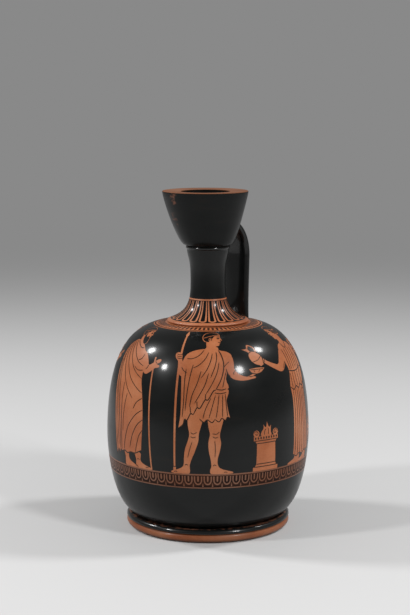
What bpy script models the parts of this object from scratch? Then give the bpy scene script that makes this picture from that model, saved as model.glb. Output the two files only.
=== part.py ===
"""Squat oil flask with a bell mouth: five thrown or pulled clay pieces, luted together and fired.

Units are metres, +Z is up, and the origin is on the axis at the level the foot stands on.
The strap handle lies at +Y, so the flask's front faces -Y.
"""

import math

import bmesh
import bpy
from mathutils import Vector

# Foot: a low disc with a round lower moulding and a smaller one above it
FOOT_RADIUS = 0.0489
FOOT_TORUS_HEIGHT = 0.0056
FOOT_TORUS_DEPTH = 0.0030
FOOT_STEP_HEIGHT = 0.0024
FOOT_STEP_DEPTH = 0.0026
FOOT_GROOVE = 0.0007
FOOT_RING_WIDTH = 0.0070
FOOT_RECESS = 0.0040

# Body: a barrel-shaped wall, thrown in one piece with its floor and shoulder
BODY_HEIGHT = 0.1139
BASE_RADIUS = 0.0450
BASE_SPREAD = math.radians(62.7)
BASE_REACH = 0.0151
BELLY_RADIUS = 0.0604
BELLY_HEIGHT = 0.0470
BELLY_DROP = 0.0075
BELLY_RISE = 0.0465
SHOULDER_SLOPE = math.radians(1.5)
SHOULDER_REACH = 0.0233
WALL = 0.0045
FLOOR = 0.0050

# Neck: a waisted tube that spreads into a flange on the shoulder
NECK_HEIGHT = 0.0440
NECK_TOP_RADIUS = 0.0126
NECK_TOP_LEAN = math.radians(7.6)
NECK_BEAD = 0.0008
NECK_WAIST_RADIUS = 0.0103
NECK_WAIST_HEIGHT = 0.0248
NECK_WAIST_REACH = 0.0123
FLANGE_RADIUS = 0.0242
FLANGE_EDGE = 0.0014
FLANGE_RISE = math.radians(20.0)
FLANGE_REACH = 0.0132
BORE_RADIUS = 0.0062

# Mouth: a bell on a short collar, with a broad lip, leaning a little as thrown bells do
COLLAR_HEIGHT = 0.0016
COLLAR_RADIUS = 0.0128
BELL_HEIGHT = 0.0316
MOUTH_BASE_RADIUS = 0.0142
MOUTH_BASE_REACH = 0.0027
MOUTH_RADIUS = 0.0254
MOUTH_RIM_LEAN = math.radians(8.0)
MOUTH_RIM_REACH = 0.0060
MOUTH_LEAN = 0.0016
MOUTH_LEAN_TURN = math.radians(222)
LIP_WIDTH = 0.0103
LIP_SLOPE = math.radians(2.0)
LIP_ROUND = 0.0005
FUNNEL_REACH = 0.0100

# Handle: a strap from the underside of the mouth down to the shoulder
HANDLE_WIDTH = 0.0182
HANDLE_THICKNESS = 0.0052
HANDLE_REACH = 0.0297
HANDLE_ARCH_WIDTH = 0.0183
HANDLE_ARCH_HEIGHT = 0.0228
HANDLE_ARCH_DROP = 0.0067
HANDLE_LEAN = 0.0015
HANDLE_ROOT_SPREAD = 0.0010

# The bed of slip in each luted seam
CLEARANCE = 0.0003

# How finely curves and circles are divided
SEGMENTS = 56
OUTER_STEPS = 8
INNER_STEPS = 9
SECTION_POINTS = 20
HANDLE_ARCH_STEPS = 10
HANDLE_LEG_STEPS = 5
SMOOTH_ANGLE = math.radians(35)

# Colours of the two finishes
BLACK_GLOSS = (0.012, 0.012, 0.013, 1.0)
ORANGE_CLAY = (0.50, 0.185, 0.070, 1.0)

# Levels, from the ground up
FOOT_HEIGHT = FOOT_TORUS_HEIGHT + FOOT_STEP_HEIGHT
BODY_BASE = FOOT_HEIGHT + CLEARANCE
SHOULDER_TOP = BODY_BASE + BODY_HEIGHT
NECK_BASE = SHOULDER_TOP + CLEARANCE
NECK_TOP = NECK_BASE + NECK_HEIGHT
MOUTH_BASE = NECK_TOP + CLEARANCE
BELL_BASE = MOUTH_BASE + COLLAR_HEIGHT
MOUTH_TOP = BELL_BASE + BELL_HEIGHT
UP, OUT = Vector((0, 1)), Vector((1, 0))


def heading(angle):
    """The unit step on the section (radius, height) that leans out from straight up by this angle."""
    return Vector((math.sin(angle), math.cos(angle)))


def curve(start, start_pull, end_pull, end, steps):
    """Points of a cubic curve between two places on the section, each with its own pull."""
    inner_start, inner_end = start + start_pull, end + end_pull
    points = []
    for i in range(steps + 1):
        t = i / steps
        points.append(
            start * (1 - t) ** 3
            + inner_start * (3 * t * (1 - t) ** 2)
            + inner_end * (3 * t * t * (1 - t))
            + end * t**3
        )
    return points


def arc(centre, radius_out, radius_up, first, last, steps):
    """Points of an upright ellipse on the section, between two angles from the horizontal."""
    points = []
    for i in range(steps + 1):
        angle = first + (last - first) * i / steps
        step = Vector((radius_out * math.cos(angle), radius_up * math.sin(angle)))
        points.append(centre + step)
    return points


def shifted(points, distance):
    """The run of points moved to its left by a distance, corners kept whole."""
    moved = []
    for i, point in enumerate(points):
        before = points[max(i - 1, 0)]
        after = points[min(i + 1, len(points) - 1)]
        first = (point - before) if i else (after - point)
        second = (after - point) if i < len(points) - 1 else first
        first_side = Vector((-first.y, first.x)).normalized()
        second_side = Vector((-second.y, second.x)).normalized()
        side = (first_side + second_side).normalized()
        moved.append(point + side * (distance / side.dot(first_side)))
    return moved


def without_repeats(points):
    """The run of points with those left out that repeat the one before."""
    kept = [points[0]]
    for point in points[1:]:
        if (point - kept[-1]).length > 1e-6:
            kept.append(point)
    return kept


def foot_section():
    """From the middle of the underside, out round the mouldings and back to the middle of the top."""
    ring_outer = FOOT_RADIUS - FOOT_TORUS_DEPTH
    ring_inner = ring_outer - FOOT_RING_WIDTH
    torus = arc(
        Vector((ring_outer, FOOT_TORUS_HEIGHT / 2)),
        FOOT_TORUS_DEPTH,
        FOOT_TORUS_HEIGHT / 2,
        math.radians(-90),
        math.radians(60),
        6,
    )
    step = arc(
        Vector((FOOT_RADIUS - FOOT_STEP_DEPTH, FOOT_TORUS_HEIGHT)),
        FOOT_STEP_DEPTH,
        FOOT_STEP_HEIGHT,
        0,
        math.radians(90),
        5,
    )
    groove = Vector((FOOT_RADIUS - FOOT_TORUS_DEPTH / 2 - FOOT_GROOVE, FOOT_TORUS_HEIGHT))
    return [
        Vector((0, FOOT_RECESS)),
        Vector((ring_inner - FOOT_RECESS, FOOT_RECESS)),
        Vector((ring_inner, 0)),
        *torus,
        groove,
        *step,
        Vector((0, FOOT_HEIGHT)),
    ]


def body_outline():
    """The body's outer wall, from the foot up to the edge of the neck's seat."""
    base = Vector((BASE_RADIUS, BODY_BASE))
    belly = Vector((BELLY_RADIUS, BODY_BASE + BELLY_HEIGHT))
    seat_edge = Vector((FLANGE_RADIUS, SHOULDER_TOP))
    down_shoulder = Vector((math.cos(SHOULDER_SLOPE), -math.sin(SHOULDER_SLOPE)))
    lower = curve(base, heading(BASE_SPREAD) * BASE_REACH, -UP * BELLY_DROP, belly, OUTER_STEPS)
    upper = curve(
        belly, UP * BELLY_RISE, down_shoulder * SHOULDER_REACH, seat_edge, 2 * OUTER_STEPS
    )
    return without_repeats(lower + upper)


def body_section():
    """The wall with its floor, open at the top where the neck stands."""
    outline = body_outline()
    floor = BODY_BASE + FLOOR
    inside = shifted(outline[::2] + outline[-1:] * (len(outline) % 2 == 0), WALL)
    above = [i for i, point in enumerate(inside) if point.y > floor]
    low, high = inside[above[0] - 1], inside[above[0]]
    floor_edge = low.lerp(high, (floor - low.y) / (high.y - low.y))
    ceiling = inside[-1]
    return [
        Vector((0, BODY_BASE)),
        *outline,
        Vector((BORE_RADIUS, SHOULDER_TOP)),
        Vector((BORE_RADIUS, ceiling.y)),
        *[inside[i] for i in reversed(above)],
        floor_edge,
        Vector((0, floor)),
    ]


def neck_outline():
    """The neck's outer face, from the flange's rounded edge up to the bead under the mouth."""
    edge = Vector((FLANGE_RADIUS - FLANGE_EDGE / 2, NECK_BASE + FLANGE_EDGE / 2))
    rounded = arc(
        edge, FLANGE_EDGE / 2, FLANGE_EDGE / 2, math.radians(-90), math.radians(90), 4
    )
    waist = Vector((NECK_WAIST_RADIUS, NECK_BASE + NECK_WAIST_HEIGHT))
    top = Vector((NECK_TOP_RADIUS, NECK_TOP - NECK_BEAD))
    inwards = Vector((-math.cos(FLANGE_RISE), math.sin(FLANGE_RISE)))
    flare = curve(
        rounded[-1], inwards * FLANGE_REACH, -UP * NECK_WAIST_REACH, waist, OUTER_STEPS
    )
    shaft = curve(
        waist,
        UP * NECK_WAIST_REACH,
        -heading(NECK_TOP_LEAN) * (NECK_HEIGHT / 6),
        top,
        OUTER_STEPS,
    )
    bead = arc(
        Vector((NECK_TOP_RADIUS - NECK_BEAD / 2, NECK_TOP - NECK_BEAD / 2)),
        NECK_BEAD,
        NECK_BEAD / 2,
        math.radians(-40),
        math.radians(90),
        3,
    )
    return without_repeats(rounded + flare + shaft[:-1] + bead)


def neck_section():
    """The neck with its straight bore."""
    outline = neck_outline()
    return [
        *outline,
        Vector((BORE_RADIUS, NECK_TOP)),
        Vector((BORE_RADIUS, NECK_BASE)),
    ]


def mouth_outline():
    """The mouth's outer face, from its seat on the neck up the collar and over the rounded lip."""
    seat = Vector((NECK_TOP_RADIUS - NECK_BEAD / 2, MOUTH_BASE))
    collar = Vector((COLLAR_RADIUS, BELL_BASE))
    base = Vector((MOUTH_BASE_RADIUS, BELL_BASE))
    rim = Vector((MOUTH_RADIUS, MOUTH_TOP - LIP_ROUND))
    wall = curve(
        base, OUT * MOUTH_BASE_REACH, -heading(MOUTH_RIM_LEAN) * MOUTH_RIM_REACH, rim, OUTER_STEPS
    )
    rounding = arc(
        rim - OUT * LIP_ROUND, LIP_ROUND, LIP_ROUND, 0, math.radians(90) - LIP_SLOPE, 3
    )
    return without_repeats([seat, collar, *wall, *rounding])


def mouth_section():
    """The bell with its lip and the funnel that leads into the neck's bore."""
    outline = mouth_outline()
    lip_fall = Vector((-math.cos(LIP_SLOPE), -math.sin(LIP_SLOPE)))
    lip_edge = outline[-1] + lip_fall * LIP_WIDTH
    bore = Vector((BORE_RADIUS, MOUTH_BASE))
    funnel = curve(lip_edge, -UP * FUNNEL_REACH, UP * FUNNEL_REACH, bore, INNER_STEPS)
    return [*outline, *funnel]


def flask_outline():
    """The outer face of body, neck and mouth in one run, closed to the axis at both ends."""
    run = [Vector((0, BODY_BASE)), *body_outline(), *neck_outline(), *mouth_outline()]
    return run + [Vector((0, run[-1].y))]


def handle_path():
    """The strap's middle line (distance from the axis, height), from inside the mouth to inside the shoulder."""
    half = HANDLE_THICKNESS / 2
    spring = Vector((HANDLE_REACH - HANDLE_ARCH_WIDTH, MOUTH_BASE - HANDLE_ARCH_DROP))
    arch = arc(
        spring,
        HANDLE_ARCH_WIDTH - half,
        HANDLE_ARCH_HEIGHT - half,
        math.radians(90),
        0,
        HANDLE_ARCH_STEPS,
    )
    foot = Vector((HANDLE_REACH - half - HANDLE_LEAN, SHOULDER_TOP - WALL))
    leg = [arch[-1].lerp(foot, i / HANDLE_LEG_STEPS) for i in range(1, HANDLE_LEG_STEPS + 1)]
    return arch + leg


def strap_section(width):
    """A strap's cut across, flat with full round edges: offsets across (X) and through the strap."""
    points = []
    for i in range(SECTION_POINTS):
        turn = 2 * math.pi * i / SECTION_POINTS
        across, through = math.cos(turn), math.sin(turn)
        points.append(
            (
                width / 2 * math.copysign(abs(across) ** 0.55, across),
                HANDLE_THICKNESS / 2 * math.copysign(abs(through) ** 0.8, through),
            )
        )
    return points


def finish(name, colour, roughness):
    """A plain material of one colour."""
    material = bpy.data.materials.new(name)
    material.use_nodes = True
    shader = material.node_tree.nodes["Principled BSDF"]
    shader.inputs["Base Color"].default_value = colour
    shader.inputs["Roughness"].default_value = roughness
    shader.inputs["Metallic"].default_value = 0.0
    return material


def add_object(name, shape, colour, roughness, parent):
    """Turns a bmesh into a named, smooth-shaded object with its own material."""
    bmesh.ops.recalc_face_normals(shape, faces=shape.faces)
    mesh = bpy.data.meshes.new(name)
    shape.to_mesh(mesh)
    shape.free()
    mesh.shade_smooth()
    mesh.set_sharp_from_angle(angle=SMOOTH_ANGLE)
    mesh.materials.append(finish(name + "_finish", colour, roughness))
    piece = bpy.data.objects.new(name, mesh)
    bpy.context.scene.collection.objects.link(piece)
    piece.parent = parent
    return piece


def turned(name, section, closed, colour, roughness, parent):
    """Spins a section (radius, height) about the axis. A closed section makes a ring."""
    shape = bmesh.new()
    corners = [shape.verts.new((point.x, 0, point.y)) for point in section]
    followers = corners[1:] + corners[:1] if closed else corners[1:]
    edges = [shape.edges.new(pair) for pair in zip(corners, followers)]
    bmesh.ops.spin(
        shape,
        geom=corners + edges,
        cent=(0, 0, 0),
        axis=(0, 0, 1),
        angle=2 * math.pi,
        steps=SEGMENTS,
        use_merge=True,
    )
    bmesh.ops.remove_doubles(shape, verts=shape.verts, dist=1e-6)
    bmesh.ops.dissolve_degenerate(shape, edges=shape.edges, dist=1e-7)
    return add_object(name, shape, colour, roughness, parent)


def strap_handle(parent):
    """Sweeps the strap along its path and trims both ends to the flask, one clearance off its face."""
    shape = bmesh.new()
    path = handle_path()
    loops = []
    for i, place in enumerate(path):
        ahead = (path[min(i + 1, len(path) - 1)] - path[max(i - 1, 0)]).normalized()
        outward = Vector((-ahead.y, ahead.x))
        share = i / (len(path) - 1)
        width = HANDLE_WIDTH + 2 * HANDLE_ROOT_SPREAD * (2 * share - 1) ** 4
        ring = []
        for across, through in strap_section(width):
            spot = place + outward * through
            ring.append(shape.verts.new((across, spot.x, spot.y)))
        loops.append([shape.edges.new(pair) for pair in zip(ring, ring[1:] + ring[:1])])
    for first, second in zip(loops, loops[1:]):
        bmesh.ops.bridge_loops(shape, edges=first + second)
    bmesh.ops.holes_fill(shape, edges=shape.edges)
    handle = add_object("handle", shape, BLACK_GLOSS, 0.16, parent)

    grown = shifted(flask_outline()[1:-1], -CLEARANCE)
    grown = [Vector((0, grown[0].y)), *grown, Vector((0, grown[-1].y))]
    cutter = turned("handle_trim", grown, False, BLACK_GLOSS, 0.16, parent)
    cutter.hide_render = True
    cutter.display_type = "WIRE"
    trim = handle.modifiers.new("trim_to_flask", "BOOLEAN")
    trim.operation = "DIFFERENCE"
    trim.solver = "EXACT"
    trim.object = cutter
    return handle


def lean_bell(mouth):
    """Moves the bell sideways above its collar, soon at first and then less, until the rim is off by the lean."""
    way = Vector((math.cos(MOUTH_LEAN_TURN), math.sin(MOUTH_LEAN_TURN), 0))
    for corner in mouth.data.vertices:
        rise = max(0, corner.co.z - BELL_BASE) / BELL_HEIGHT
        corner.co += way * (MOUTH_LEAN * (1 - (1 - rise) ** 2))


def main():
    for old in list(bpy.data.objects):
        bpy.data.objects.remove(old)
    flask = bpy.data.objects.new("flask", None)
    bpy.context.scene.collection.objects.link(flask)
    turned("foot", foot_section(), False, ORANGE_CLAY, 0.5, flask)
    turned("body", body_section(), False, BLACK_GLOSS, 0.16, flask)
    turned("neck", neck_section(), True, BLACK_GLOSS, 0.16, flask)
    mouth = turned("mouth", mouth_section(), True, BLACK_GLOSS, 0.16, flask)
    lean_bell(mouth)
    strap_handle(flask)


main()
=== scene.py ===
"""Looks of a squat clay oil flask: turned clay, black gloss, and figures left in the clay's colour.

Metres, +Z up, the strap handle at +Y. Turns about the axis count from the side that the picture shows.
"""

import math

import bpy
import numpy as np
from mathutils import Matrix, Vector
from mathutils.geometry import delaunay_2d_cdt


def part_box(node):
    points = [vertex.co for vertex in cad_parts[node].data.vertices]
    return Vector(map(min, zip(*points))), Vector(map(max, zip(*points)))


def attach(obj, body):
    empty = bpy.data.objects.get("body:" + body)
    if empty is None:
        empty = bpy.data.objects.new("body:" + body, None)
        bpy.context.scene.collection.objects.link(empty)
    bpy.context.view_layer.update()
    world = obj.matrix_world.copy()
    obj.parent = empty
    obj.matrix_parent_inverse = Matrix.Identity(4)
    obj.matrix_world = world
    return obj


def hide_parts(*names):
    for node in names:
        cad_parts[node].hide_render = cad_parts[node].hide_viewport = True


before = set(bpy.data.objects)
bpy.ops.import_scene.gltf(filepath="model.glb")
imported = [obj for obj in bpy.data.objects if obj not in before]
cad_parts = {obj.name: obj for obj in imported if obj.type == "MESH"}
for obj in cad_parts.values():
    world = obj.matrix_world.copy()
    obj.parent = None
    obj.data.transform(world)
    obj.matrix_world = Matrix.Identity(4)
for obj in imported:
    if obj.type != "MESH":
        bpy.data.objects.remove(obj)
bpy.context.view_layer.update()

# The foot
# A thrown disc with a round lower moulding, a smaller moulding above it and a recess underneath.
# It is orange clay: the lower moulding and the underside are left bare, with a thin wash.
foot_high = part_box("foot")[1]
foot_radius = foot_high.x
foot_height = foot_high.z
torus_height = 0.0056
torus_depth = 0.0030
step_depth = 0.0026
groove_depth = 0.0007
ring_width = 0.0070
recess = 0.0040


def arc(centre, radius_out, radius_up, first, last, steps):
    """Points of an ellipse on the section (radius, height), between two angles in degrees."""
    turns = np.radians(np.linspace(first, last, steps + 1))
    return np.column_stack((centre[0] + radius_out * np.cos(turns), centre[1] + radius_up * np.sin(turns)))


def joined(*runs):
    """Several runs of section points as one, without the points that repeat."""
    points = np.vstack([np.atleast_2d(run) for run in runs])
    steps = np.linalg.norm(np.diff(points, axis=0), axis=1)
    return points[np.concatenate(([True], steps > 1e-6))]


def turned(name, section, closed, steps, sharp=30):
    """Shapes a loop to a section and spins it about the axis, as on a wheel.
    A closed section makes a ring, and an open one starts and ends on the axis."""
    bpy.ops.object.select_all(action="DESELECT")
    bpy.ops.mesh.primitive_circle_add(vertices=len(section), radius=0.01)
    piece = bpy.context.active_object
    piece.name = name
    piece.data.name = name
    for vertex, (radius, height) in zip(piece.data.vertices, section):
        vertex.co = (radius, 0, height)
    bpy.ops.object.mode_set(mode="EDIT")
    if not closed:
        bpy.ops.mesh.select_mode(type="EDGE")
        bpy.ops.mesh.select_all(action="DESELECT")
        bpy.ops.object.mode_set(mode="OBJECT")
        for edge in piece.data.edges:
            edge.select = set(edge.vertices) == {0, len(section) - 1}
        bpy.ops.object.mode_set(mode="EDIT")
        bpy.ops.mesh.delete(type="EDGE")
        bpy.ops.mesh.select_mode(type="VERT")
    bpy.ops.mesh.select_all(action="SELECT")
    bpy.ops.mesh.spin(steps=steps, angle=math.tau, center=(0, 0, 0), axis=(0, 0, 1))
    bpy.ops.mesh.select_all(action="SELECT")
    bpy.ops.mesh.remove_doubles(threshold=2e-7)
    bpy.ops.mesh.normals_make_consistent(inside=False)
    bpy.ops.object.mode_set(mode="OBJECT")
    bpy.ops.object.shade_smooth_by_angle(angle=math.radians(sharp))
    return piece


def new_node(tree, kind, place, **settings):
    """Adds a shader node and sets its properties and, by name, its inputs."""
    made = tree.nodes.new(kind)
    made.location = place
    for key, value in settings.items():
        if hasattr(made, key):
            setattr(made, key, value)
        else:
            made.inputs[key.replace("_", " ")].default_value = value
    return made


def ramp(tree, place, *stops):
    """A colour ramp with the given (position, colour) stops."""
    made = tree.nodes.new("ShaderNodeValToRGB")
    made.location = place
    elements = made.color_ramp.elements
    while len(elements) < len(stops):
        elements.new(0.5)
    for element, (position, colour) in zip(elements, stops):
        element.position = position
        element.color = (*colour, 1)
    return made


def wire(tree, *runs):
    """Links shader nodes. Each run is a node and its output, then the next node and its input."""
    for first, output, second, entry in runs:
        tree.links.new(first.outputs[output], second.inputs[entry])


def tone_group(name, **inputs):
    """An empty shader group with the given inputs, which gives a colour, a roughness and a height."""
    tree = bpy.data.node_groups.new(name, "ShaderNodeTree")
    for key, kind in inputs.items():
        tree.interface.new_socket(key.replace("_", " "), in_out="INPUT", socket_type="NodeSocket" + kind)
    for key, kind in (("Color", "Color"), ("Roughness", "Float"), ("Height", "Float")):
        tree.interface.new_socket(key, in_out="OUTPUT", socket_type="NodeSocket" + kind)
    return tree, tree.nodes.new("NodeGroupInput"), tree.nodes.new("NodeGroupOutput")


def clay_group():
    """Fired clay: orange with paler and redder clouds, fine grit and faint rings from the wheel.
    The wash tints it, and below the shade level it is darkened towards the ground as painted shade."""
    tree, given, out = tone_group("clay_tone", Wash="Color", Soil_Level="Float")
    where = new_node(tree, "ShaderNodeTexCoord", (-1200, 0))
    clouds = new_node(tree, "ShaderNodeTexNoise", (-900, 300), Scale=38.0, Detail=5.0, Roughness=0.55)
    tones = ramp(
        tree,
        (-600, 300),
        (0.36, (0.300, 0.085, 0.028)),
        (0.50, (0.370, 0.122, 0.048)),
        (0.64, (0.420, 0.160, 0.074)),
    )
    grit = new_node(tree, "ShaderNodeTexNoise", (-900, 0), Scale=1500.0, Detail=3.0, Roughness=0.6)
    grit_tones = ramp(tree, (-600, 0), (0.30, (0.80, 0.78, 0.75)), (0.55, (1, 1, 1)))
    mix = new_node(tree, "ShaderNodeMix", (-250, 200), data_type="RGBA", blend_type="MULTIPLY")
    mix.inputs["Factor"].default_value = 0.55
    washed = new_node(tree, "ShaderNodeMix", (-50, 200), data_type="RGBA", blend_type="MULTIPLY")
    thin = new_node(
        tree, "ShaderNodeMapRange", (-250, 450), From_Min=0.35, From_Max=0.65, To_Min=1.0, To_Max=0.92
    )
    # Painted shade: below the given level the colour darkens towards the ground, to a quarter at the very
    # bottom.
    height = new_node(tree, "ShaderNodeSeparateXYZ", (-1000, 700))
    painted_shade = new_node(tree, "ShaderNodeMapRange", (-750, 700), To_Min=0.25)
    painted_shade_applied = new_node(tree, "ShaderNodeVectorMath", (150, 200), operation="SCALE")
    squeeze = new_node(tree, "ShaderNodeMapping", (-1050, -300), Scale=(0.08, 0.08, 1.0))
    rings = new_node(tree, "ShaderNodeTexNoise", (-850, -300), Scale=700.0, Detail=2.0)
    add = new_node(tree, "ShaderNodeMath", (-450, -250), operation="ADD")
    rough = new_node(tree, "ShaderNodeMapRange", (-450, -500), To_Min=0.34, To_Max=0.48)
    wire(
        tree,
        (where, "Object", clouds, "Vector"),
        (where, "Object", grit, "Vector"),
        (where, "Object", squeeze, "Vector"),
        (squeeze, "Vector", rings, "Vector"),
        (clouds, "Fac", tones, "Fac"),
        (grit, "Fac", grit_tones, "Fac"),
        (tones, "Color", mix, "A"),
        (grit_tones, "Color", mix, "B"),
        (rings, "Fac", thin, "Value"),
        (thin, "Result", washed, "Factor"),
        (mix, "Result", washed, "A"),
        (given, "Wash", washed, "B"),
        (where, "Object", height, "Vector"),
        (height, "Z", painted_shade, "Value"),
        (given, "Soil Level", painted_shade, "From Max"),
        (washed, "Result", painted_shade_applied, 0),
        (painted_shade, "Result", painted_shade_applied, "Scale"),
        (painted_shade_applied, "Vector", out, "Color"),
        (rings, "Fac", add, 0),
        (grit, "Fac", add, 1),
        (add, "Value", out, "Height"),
        (clouds, "Fac", rough, "Value"),
        (rough, "Result", out, "Roughness"),
    )
    return tree


clay_tone = clay_group()


def toned_material(name, group, bump, ior, polish, **settings):
    """A material whose colour, roughness and relief come from a tone group, with a thin polished coat."""
    made = bpy.data.materials.new(name)
    made.use_nodes = True
    tree = made.node_tree
    shader = tree.nodes["Principled BSDF"]
    tone = new_node(tree, "ShaderNodeGroup", (-600, 0), node_tree=group)
    for key, value in settings.items():
        tone.inputs[key.replace("_", " ")].default_value = value
    relief = new_node(tree, "ShaderNodeBump", (-300, -250), Strength=bump, Distance=0.0002)
    wire(
        tree,
        (tone, "Color", shader, "Base Color"),
        (tone, "Roughness", shader, "Roughness"),
        (tone, "Height", relief, "Height"),
        (relief, "Normal", shader, "Normal"),
    )
    shader.inputs["IOR"].default_value = ior
    shader.inputs["Coat Weight"].default_value = polish
    shader.inputs["Coat Roughness"].default_value = 0.12
    shader.inputs["Coat IOR"].default_value = 1.6
    return made


# Below 2.2 mm the foot's clay is darkened towards the ground, as painted shade where the moulding curves
# under.
washed_foot = toned_material(
    "washed_foot",
    clay_tone,
    bump=0.3,
    ior=1.3,
    polish=0.08,
    Wash=(0.62, 0.60, 0.60, 1),
    Soil_Level=0.0022,
)

ring_outer = foot_radius - torus_depth
ring_inner = ring_outer - ring_width
torus = arc((ring_outer, torus_height / 2), torus_depth, torus_height / 2, -90, 60, 18)
step_centre = (foot_radius - step_depth, torus_height)
step = arc(step_centre, step_depth, foot_height - torus_height, 0, 90, 14)
groove = (foot_radius - torus_depth / 2 - groove_depth, torus_height)
foot_section = joined(
    (0, recess), (ring_inner - recess, recess), (ring_inner, 0), torus, groove, step, (0, foot_height)
)
foot = turned("foot_clay", foot_section, False, 128)
foot.data.materials.append(washed_foot)
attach(foot, "root")
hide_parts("foot")

# The gloss on the foot
# A coat of black slip on the upper moulding and its top, brushed on while the foot turned on the wheel.
# It runs in under the body, a groove parts it from the bare moulding below, and its upper edge is worn, a
# thin clay-coloured line that is also a painted highlight along that edge.
coat_lift = 0.00006
coat_sink = 0.00002


def gloss_group():
    """Fired black slip: deep black, brown where it is thin, with brush rings and specks.
    It is rubbed through near two places, within a reach that the stretch weighs along each axis."""
    tree, given, out = tone_group(
        "gloss_tone", Rub_Place="Vector", Other_Place="Vector", Rub_Stretch="Vector", Rub_Reach="Float"
    )
    where = new_node(tree, "ShaderNodeTexCoord", (-1400, 0))
    squeeze = new_node(tree, "ShaderNodeMapping", (-1200, 300), Scale=(0.25, 0.25, 1.0))
    strokes = new_node(tree, "ShaderNodeTexNoise", (-1000, 300), Scale=130.0, Detail=5.0, Roughness=0.55)
    tones = ramp(
        tree,
        (-700, 300),
        (0.30, (0.0032, 0.0038, 0.0037)),
        (0.62, (0.0050, 0.0054, 0.0052)),
        (0.85, (0.0115, 0.0085, 0.0064)),
    )
    specks = new_node(tree, "ShaderNodeTexNoise", (-1000, 0), Scale=420.0, Detail=8.0, Roughness=0.72)
    speck_mask = ramp(tree, (-700, 0), (0.715, (0, 0, 0)), (0.745, (1, 1, 1)))
    mix = new_node(tree, "ShaderNodeMix", (-350, 200), data_type="RGBA")
    mix.inputs["B"].default_value = (0.060, 0.030, 0.018, 1)
    nearest = new_node(tree, "ShaderNodeMath", (-950, 700), operation="MINIMUM")
    near = new_node(tree, "ShaderNodeMapRange", (-800, 600), To_Min=1.0, To_Max=0.0)
    scuffs = new_node(tree, "ShaderNodeTexNoise", (-800, 850), Scale=330.0, Detail=6.0, Roughness=0.6)
    rubbed = new_node(tree, "ShaderNodeMath", (-600, 700), operation="MULTIPLY")
    rub_mask = ramp(tree, (-400, 700), (0.40, (0, 0, 0)), (0.50, (1, 1, 1)))
    worn = new_node(tree, "ShaderNodeMix", (-150, 350), data_type="RGBA")
    worn.inputs["B"].default_value = (0.110, 0.044, 0.026, 1)
    smear = new_node(tree, "ShaderNodeTexNoise", (-1000, -300), Scale=55.0, Detail=6.0, Roughness=0.65)
    rough = new_node(
        tree, "ShaderNodeMapRange", (-650, -300), From_Min=0.3, From_Max=0.7, To_Min=0.26, To_Max=0.38
    )
    for i, place in enumerate(("Rub Place", "Other Place")):
        offset = new_node(tree, "ShaderNodeVectorMath", (-1500, 600 + 200 * i), operation="SUBTRACT")
        stretched = new_node(tree, "ShaderNodeVectorMath", (-1300, 600 + 200 * i), operation="MULTIPLY")
        away = new_node(tree, "ShaderNodeVectorMath", (-1100, 600 + 200 * i), operation="LENGTH")
        wire(
            tree,
            (where, "Object", offset, 0),
            (given, place, offset, 1),
            (offset, "Vector", stretched, 0),
            (given, "Rub Stretch", stretched, 1),
            (stretched, "Vector", away, 0),
            (away, "Value", nearest, i),
        )
    wire(
        tree,
        (where, "Object", specks, "Vector"),
        (where, "Object", smear, "Vector"),
        (where, "Object", squeeze, "Vector"),
        (squeeze, "Vector", strokes, "Vector"),
        (strokes, "Fac", tones, "Fac"),
        (specks, "Fac", speck_mask, "Fac"),
        (tones, "Color", mix, "A"),
        (speck_mask, "Color", mix, "Factor"),
        (nearest, "Value", near, "Value"),
        (given, "Rub Reach", near, "From Max"),
        (where, "Object", scuffs, "Vector"),
        (near, "Result", rubbed, 0),
        (scuffs, "Fac", rubbed, 1),
        (rubbed, "Value", rub_mask, "Fac"),
        (mix, "Result", worn, "A"),
        (rub_mask, "Color", worn, "Factor"),
        (worn, "Result", out, "Color"),
        (smear, "Fac", rough, "Value"),
        (rough, "Result", out, "Roughness"),
        (strokes, "Fac", out, "Height"),
    )
    return tree


gloss_tone = gloss_group()


def wall_of(points):
    """A wall's outer face: for each point its distance along the section and the way out from the face."""
    ahead = np.gradient(points, axis=0)
    ahead /= np.linalg.norm(ahead, axis=1)[:, None]
    steps = np.linalg.norm(np.diff(points, axis=0), axis=1)
    return {
        "along": np.concatenate(([0], np.cumsum(steps))),
        "face": points,
        "out": np.column_stack((ahead[:, 1], -ahead[:, 0])),
    }


def coat_section(wall, first=0, last=math.inf):
    """The closed section of a thin coat on a wall, between two distances along it or up to its ends."""
    along = wall["along"]
    ends = np.clip((first, last), 0, along[-1])
    between = along[(along > ends[0] + 1e-6) & (along < ends[1] - 1e-6)]
    stops = np.concatenate((ends[:1], between, ends[1:]))
    face = np.column_stack([np.interp(stops, along, wall["face"][:, k]) for k in (0, 1)])
    out = np.column_stack([np.interp(stops, along, wall["out"][:, k]) for k in (0, 1)])
    return np.vstack((face + out * coat_lift, (face - out * coat_sink)[::-1]))


under_body = 0.0440
step_wall = wall_of(
    joined(arc(step_centre, step_depth, foot_height - torus_height, -6, 90, 24), (under_body, foot_height))
)
foot_coat = turned("foot_gloss", coat_section(step_wall, 0.0001), True, 128)
# A ring of worn, clay-coloured slip on the moulding's upper edge, which also serves as a painted highlight
# along that edge.
worn_and_highlit_edge = torus_height + (foot_height - torus_height) * math.sin(math.radians(75))
foot_gloss = toned_material(
    "foot_gloss",
    gloss_tone,
    bump=0.15,
    ior=1.22,
    polish=0.35,
    Rub_Place=(0, 0, worn_and_highlit_edge),
    Other_Place=(0, 0, worn_and_highlit_edge),
    Rub_Stretch=(0, 0, 1),
    Rub_Reach=0.0009,
)
foot_coat.data.materials.append(foot_gloss)
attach(foot_coat, "root")

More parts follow.
